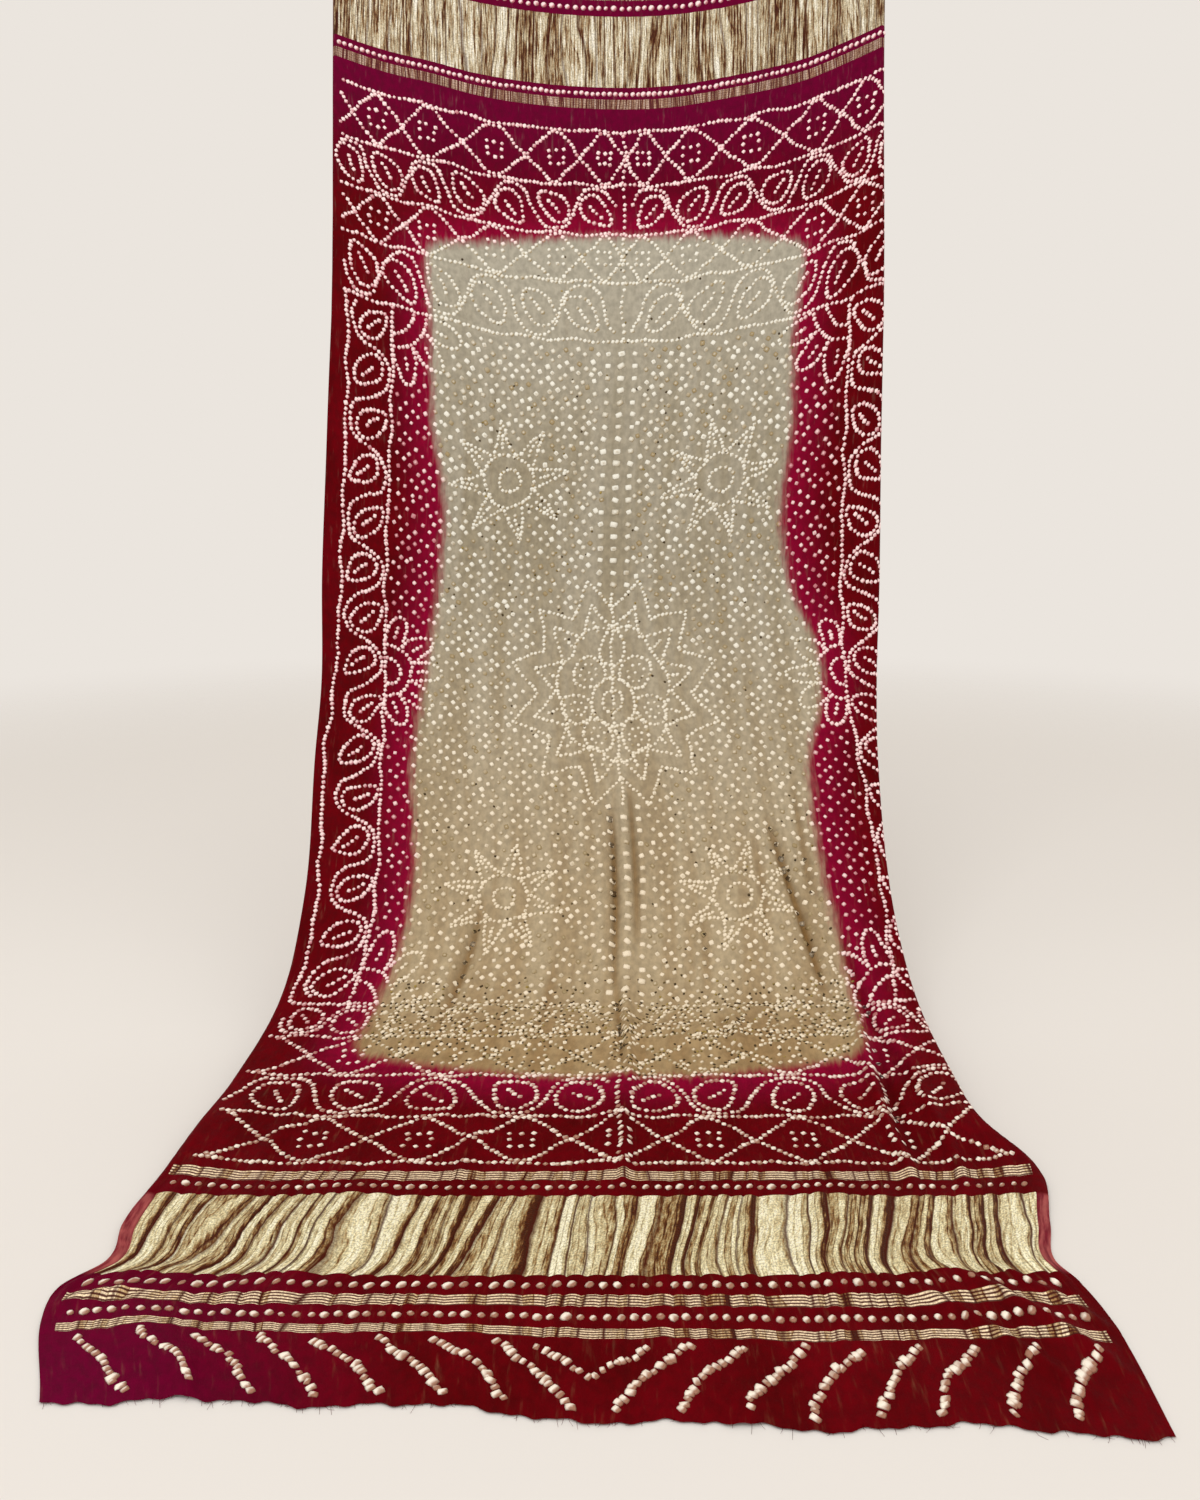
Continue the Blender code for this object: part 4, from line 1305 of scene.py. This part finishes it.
on_red, on_floor, on_beige = (
    add_node(tree, "Mix", {SHARE: lit, UNDER: from_hex(dull), OVER: bright}, **LAID_OVER).outputs[MIXED]
    for dull, bright in (
        ("BC6C76", from_hex("FFE6E4")), ("A07058", from_hex("FFF6E6")), ("A08C64", lit_beige),
    )
)
pale = layered(tree, on_red, ((lying, on_floor, LAID_OVER), (in_field, on_beige, LAID_OVER)))
tied_colour = layered(tree, dyed_ground_and_crease_shade(tree), ((0.40, pale, LAID_OVER), (crown, pale, LAID_OVER)))
FIBRES = 600.0              # per metre, coarser than a silk fibre so that they show
fibres = cloth_noise(tree, FIBRES, FIBRES, 2.0)
tied_bump = add_node(tree, "Bump", {"Strength": 0.3, "Distance": 0.0006, "Height": fibres})
tied_shader = add_node(tree, "BsdfPrincipled", {
    "Base Color": tied_colour, "Roughness": 0.5, "Specular IOR Level": 0.4,
    "Normal": tied_bump.outputs["Normal"],
})
tree.links.new(tied_shader.outputs["BSDF"], output.inputs["Surface"])

RIM_POINTS = 8
RIM_SINK = -0.00022
SHOULDER_SHARE = 0.64
SHOULDER_LIFT = 0.15        # of the half width
CROWN_LIFT = 0.26
SQUARENESS = 5.0            # 2 is a round tie, and higher is squarer
DARKEST = 0.35              # no tie and no mark is shaded below this
PIERCED = 0.15              # share of ties whose binding left a darker spot in the crown
PIERCED_SHADE = 0.72
# Painted shade: each tie is painted duller on its side away from the light, to the lower right.
AWAY_START = 0.10           # how far up a tie its duller side begins
LINE_SLANT = 0.28           # how much a tie of a line is duller there, then one of the field
FIELD_SLANT = 0.14
END_SLANT = 0.50            # and the large ties at the ends are dullest on that side
ROW_SQUARENESS = 2.4
END_RISE = 1.9              # the large ties at the ends stand this much prouder
NEAR_CONTRAST = 1.7         # the ties on the floor differ more in how they face the light


def make_ties(name, dots, material, rise, slant, squareness):
    """Joined nubs: a sunken rim, a raised shoulder and a crown, in a rounded square round each place.

    A point of the outline lies at 1 / (|cos|^n + |sin|^n)^(1/n) of the half width, turned with the tie.
    The slant dulls each tie on the side that looks away from the light, to the lower right.
    """
    count = len(dots)
    angle = np.arange(RIM_POINTS) * FULL_TURN / RIM_POINTS
    cosine, sine = np.cos(angle), np.sin(angle)
    outline = (np.abs(cosine) ** squareness + np.abs(sine) ** squareness) ** (-1.0 / squareness)
    half = dots[:, TIE_HALF, None]
    along = half * outline * cosine
    beside = half * outline * sine * dots[:, TIE_STRETCH, None]
    turn = dots[:, TIE_TURN, None]
    turn_cosine, turn_sine = np.cos(turn), np.sin(turn)
    off_across = along * turn_cosine - beside * turn_sine
    off_down = along * turn_sine + beside * turn_cosine
    shares = np.concatenate((np.ones(RIM_POINTS), np.full(RIM_POINTS, SHOULDER_SHARE), [0.0]))
    lift_shares = np.repeat((0.0, SHOULDER_LIFT, CROWN_LIFT), (RIM_POINTS, RIM_POINTS, 1))
    lifts = np.where(shares == 1.0, RIM_SINK, rise * half * lift_shares)
    pick = np.concatenate((np.arange(RIM_POINTS), np.arange(RIM_POINTS), [0]))
    across = dots[:, 0:1] + off_across[:, pick] * shares
    down = dots[:, 1:2] + off_down[:, pick] * shares
    points = on_cloth(across, down, lifts[..., None])
    rim = np.arange(RIM_POINTS)
    following = (rim + 1) % RIM_POINTS
    wall = np.stack((rim, rim + RIM_POINTS, following + RIM_POINTS, following), axis=-1)
    top = np.stack((rim + RIM_POINTS, np.full(RIM_POINTS, 2 * RIM_POINTS), following + RIM_POINTS), axis=-1)
    start = (np.arange(count) * (2 * RIM_POINTS + 1))[:, None, None]
    faces = (wall + start).reshape(-1, 4).tolist() + (top + start).reshape(-1, 3).tolist()
    faces += (rim[None, :] + start[:, 0]).tolist()
    piece = make_piece(name, points, faces, material)
    set_dye_and_crease_shade(piece.data, across, down)
    set_values(piece.data, "crown", np.broadcast_to(1.0 - shares, across.shape))
    shades = np.repeat(np.clip(dots[:, TIE_SHADE, None], DARKEST, 1.0), across.shape[1], axis=1)
    # Painted highlight: each crown's shade is lifted halfway to full, so every tie keeps a pale top.
    shades[:, -1] = (1.0 + shades[:, -1]) / 2.0
    shades[chance.random(count) < PIERCED, -1] *= PIERCED_SHADE
    away = (off_across + off_down) / (half * np.sqrt(2.0))
    shades[:, :-1] -= slant * np.clip(away[:, pick[:-1]] + AWAY_START, 0.0, 1.0)
    set_values(piece.data, "shade", shades)
    return piece


# In the near bands on beige the figures were tied twice, the second time a little astray.
ECHO_FROM = 1.69
ECHO_SHIFT = (0.0050, -0.0075)
ECHO_STRAY = 0.0016
ECHO_SHARE = 0.5
ECHO_COVER = 0.6            # how well covered a tie is that counts as on beige
SMALLER_ON_BEIGE = 0.88
in_beige = dye_cover(figures[:, 0], figures[:, 1], 0.0, FIELD_SOFT) > ECHO_COVER
in_near_beige = in_beige & (figures[:, 1] > ECHO_FROM)
figures[in_near_beige, TIE_HALF] *= SMALLER_ON_BEIGE
echo = figures[in_near_beige & (chance.random(len(figures)) < ECHO_SHARE)]
echo[:, :2] += ECHO_SHIFT + ECHO_STRAY * chance.normal(size=(len(echo), 2))
far = figures[:, 1] < FAR_LINES[0] + LINE_PITCH / 2.0
near = figures[:, 1] > NEAR_LINES[0] - LINE_PITCH / 2.0
figures[near, TIE_SHADE] = 1.0 + NEAR_CONTRAST * (figures[near, TIE_SHADE] - 1.0)
all_field_dots = np.concatenate((field_dots, centre_dots, echo))
tie_pieces = [
    make_ties(name, dots, tied, rise, slant, squareness)
    for name, dots, rise, slant, squareness in (
        ("ties_far_bands", figures[far], 1.0, LINE_SLANT, SQUARENESS),
        ("ties_near_bands", figures[near], 1.0, LINE_SLANT, SQUARENESS),
        ("ties_borders_and_flowers", figures[~far & ~near], 1.0, LINE_SLANT, SQUARENESS),
        ("ties_field", all_field_dots, 1.0, FIELD_SLANT, SQUARENESS),
        ("ties_crimson_strips", strip_dots, 1.0, FIELD_SLANT, SQUARENESS),
        ("ties_by_stripes", row_dots, END_RISE, END_SLANT, ROW_SQUARENESS),
        ("ties_of_end_chains", chain_dots, END_RISE, END_SLANT, SQUARENESS),
    )
]

# Marks: small knots where the binding thread stained the cloth, dark brown or olive gold, and painted
# shadows of the ties. They lie beside the field's ties and along the figures on beige, and in the beige
# near bands beside nearly every tie, where they stand for the ties' shadows.
tie_stains_and_painted_shadows, tree, output = new_material("thread_stains_and_painted_shadows")
fleck_shade = add_node(tree, "Attribute", attribute_name="shade").outputs["Fac"]
fleck_share = add_node(tree, "MapRange", (fleck_shade, DARKEST, 1.0), **EASED).outputs[0]
fleck = add_node(
    tree, "Mix", {SHARE: fleck_share, UNDER: from_hex("34240E"), OVER: from_hex("A48C48")}, **LAID_OVER,
).outputs[MIXED]
mark_shader = add_node(tree, "BsdfPrincipled", {
    "Base Color": fleck, "Roughness": 0.6, "Specular IOR Level": 0.2,
})
tree.links.new(mark_shader.outputs["BSDF"], output.inputs["Surface"])

MARK_HALF = 0.0021
MARK_REACH = 0.0046         # how far a mark lies from its tie
MARK_STRETCH = 0.8
# Columns: the place's sides across, its ends down, and the chance of a mark beside a tie there.
MARKS = (
    ("whole field",      -0.330, 0.330, 0.500, 1.700, 0.045),
    ("far left star",    -0.270, -0.060, 0.740, 1.120, 0.130),
    ("left of flower",   -0.290, -0.120, 1.120, 1.480, 0.060),
    ("near right star",  0.130, 0.290, 1.400, 1.640, 0.120),
    # here the marks are painted shadows of the ties, beside nearly every one
    ("beige near bands", -0.330, 0.330, 1.690, 1.870, 0.850),
)


def marks_beside(dots):
    """A mark beside some of the ties: the chance is the highest of the places that hold the tie."""
    chances = np.zeros(len(dots))
    for name, from_across, to_across, from_down, to_down, share in MARKS:
        inside = (dots[:, 0] > from_across) & (dots[:, 0] < to_across)
        inside &= (dots[:, 1] > from_down) & (dots[:, 1] < to_down)
        chances = np.where(inside, np.maximum(chances, share), chances)
    chances *= dye_cover(dots[:, 0], dots[:, 1], 0.0, FIELD_SOFT)
    marked = dots[chance.random(len(dots)) < chances]
    way = chance.uniform(0.0, FULL_TURN, len(marked))
    marks = dots_at(
        marked[:, 0] + MARK_REACH * np.cos(way), marked[:, 1] + MARK_REACH * np.sin(way),
        MARK_HALF, MARK_STRETCH, way, stray_by=FIELD_STRAY,
    )
    marks[:, TIE_SHADE] = chance.random(len(marks)) ** 2.0
    return marks


marks = marks_beside(np.concatenate((field_dots, centre_dots, figures, echo)))
tie_pieces.append(make_ties("tie_stains_and_painted_shadows", marks, tie_stains_and_painted_shadows, 1.0, LINE_SLANT, SQUARENESS))

# ------------------------------------------------------------------------------------------------
# The frayed ends. Both ends are cut and left raw, so warp threads stand out from them.
# ------------------------------------------------------------------------------------------------
THREAD_COUNT = 170
THREAD_RADIUS = 0.00022
THREAD_LENGTH = (0.0035, 0.0065)
THREAD_SIDES = 4
THREAD_STEPS = 4
THREAD_INSET = 0.002        # from the selvedges
THREAD_ROOT = 0.002         # how deep a thread starts inside the weave
THREAD_BACK = 0.004         # the way out of the cloth is taken over this length
THREAD_BEND = 0.45
THREAD_TAPER = 0.5
THREAD_CLEAR = 1.5          # radii above the floor
THREAD_HIGHEST = 0.008      # above the top edge
thread_across = chance.uniform(-HALF_WIDTH + THREAD_INSET, HALF_WIDTH - THREAD_INSET, 2 * THREAD_COUNT)
thread_end = np.repeat((0.0, LENGTH), THREAD_COUNT)
thread_length = chance.uniform(*THREAD_LENGTH, 2 * THREAD_COUNT)
thread_lean = chance.normal(size=(2 * THREAD_COUNT, 3))
root = on_cloth(thread_across, thread_end, 0.0)
before = on_cloth(thread_across, np.abs(thread_end - THREAD_BACK), 0.0)
outward = root - before
outward /= np.linalg.norm(outward, axis=-1, keepdims=True)
share = np.linspace(0.0, 1.0, THREAD_STEPS)[None, :, None]
bend = THREAD_BEND * thread_lean[:, None, :] * share ** 2
reach = (thread_length[:, None] * share[..., 0])[..., None]
spine = root[:, None, :] - THREAD_ROOT * outward[:, None, :] + reach * (outward[:, None, :] + bend)
spine[..., 2] = np.maximum(spine[..., 2], FLOOR + THREAD_RADIUS * THREAD_CLEAR)
spine[:THREAD_COUNT, :, 2] = np.minimum(spine[:THREAD_COUNT, :, 2], cad_box[1].z + THREAD_HIGHEST)
side_way = np.array((1.0, 0.0, 0.0))
up_way = np.cross(side_way, outward)
angle = np.arange(THREAD_SIDES) * FULL_TURN / THREAD_SIDES
taper = THREAD_RADIUS * (1.0 - THREAD_TAPER * share[..., None])
around_side = np.cos(angle)[None, None, :, None] * side_way
ring_way = around_side + np.sin(angle)[None, None, :, None] * up_way[:, None, None, :]
thread_points = spine[:, :, None, :] + taper * ring_way
step_index = np.arange(THREAD_STEPS - 1)[:, None]
side_index = np.arange(THREAD_SIDES)[None, :]
next_side = (side_index + 1) % THREAD_SIDES
one_thread = np.stack((
    step_index * THREAD_SIDES + side_index,
    step_index * THREAD_SIDES + next_side,
    (step_index + 1) * THREAD_SIDES + next_side,
    (step_index + 1) * THREAD_SIDES + side_index,
), axis=-1).reshape(-1, 4)
caps = np.stack((side_index[0][::-1], side_index[0] + (THREAD_STEPS - 1) * THREAD_SIDES))
thread_start = (np.arange(2 * THREAD_COUNT) * THREAD_STEPS * THREAD_SIDES)[:, None, None]
thread_faces = np.concatenate((one_thread, caps))[None] + thread_start
threads = make_piece("frayed_threads", thread_points, thread_faces.reshape(-1, 4), crepe)
thread_places = (2 * THREAD_COUNT, THREAD_STEPS, THREAD_SIDES)
set_dye_and_crease_shade(
    threads.data,
    np.broadcast_to(thread_across[:, None, None], thread_places),
    np.broadcast_to(thread_end[:, None, None], thread_places),
)

# ------------------------------------------------------------------------------------------------
# The stage: a plain pale floor that fades into the surround, soft light from above and in front.
# ------------------------------------------------------------------------------------------------
FLOOR_REACH = 9.0
FLOOR_SIDES = 96
FLOOR_FADE = (1.5, 4.2)
SURROUND = "EBE5DE"
FLOOR_COLOUR = "E7E4E0"
floor_mesh = bpy.data.meshes.new("studio_floor")
floor_angle = np.arange(FLOOR_SIDES) * FULL_TURN / FLOOR_SIDES
floor_across, floor_forward = FLOOR_REACH * np.cos(floor_angle), FLOOR_REACH * np.sin(floor_angle)
floor_ring = np.stack((floor_across, floor_forward, np.full(FLOOR_SIDES, FLOOR)), axis=-1)
floor_mesh.from_pydata(floor_ring.tolist(), [], [list(range(FLOOR_SIDES))])
floor, tree, output = new_material("plain_pale_floor")
place = add_node(tree, "TexCoord").outputs["Object"]
flat_place = add_node(tree, "VectorMath", (place, (1.0, 1.0, 0.0)), operation="MULTIPLY")
flat_distance = add_node(tree, "VectorMath", (flat_place.outputs["Vector"],), operation="LENGTH")
faded = add_node(tree, "MapRange", (flat_distance.outputs["Value"], *FLOOR_FADE), **EASED).outputs[0]
paper = add_node(tree, "BsdfDiffuse", {"Color": from_hex(FLOOR_COLOUR)})
clear = add_node(tree, "BsdfTransparent")
fade = add_node(tree, "MixShader", (faded, paper.outputs["BSDF"], clear.outputs["BSDF"]))
tree.links.new(fade.outputs["Shader"], output.inputs["Surface"])
floor_mesh.materials.append(floor)
floor_piece = bpy.data.objects.new("studio_floor", floor_mesh)
bpy.context.scene.collection.objects.link(floor_piece)

# Columns: place across and forward, height above the floor, size and power.
LIGHTS = (
    ("key_light",  -0.80, 2.30, 2.70, 1.6, 26.0),
    ("fill_light", 1.60, 2.40, 1.60, 2.2, 6.0),
    ("back_light", 0.30, -2.20, 2.40, 2.4, 8.0),
)
AIM = (0.0, -0.5, FLOOR + 0.6)
for name, across, forward, above_floor, size, power in LIGHTS:
    light_data = bpy.data.lights.new(name, "AREA")
    light_data.size = size
    light_data.energy = power
    light = bpy.data.objects.new(name, light_data)
    light.location = (across, -forward, FLOOR + above_floor)
    way = np.array(AIM) - np.array(light.location)
    light.rotation_euler = (np.arctan2(np.hypot(way[0], way[1]), -way[2]), 0.0, np.arctan2(-way[0], way[1]))
    bpy.context.scene.collection.objects.link(light)

world = bpy.data.worlds.new("pale_surround")
world.use_nodes = True
backdrop = world.node_tree.nodes["Background"]
backdrop.inputs["Color"].default_value = from_hex(SURROUND)
backdrop.inputs["Strength"].default_value = 1.0
bpy.context.scene.world = world
bpy.context.scene.view_settings.view_transform = "Standard"
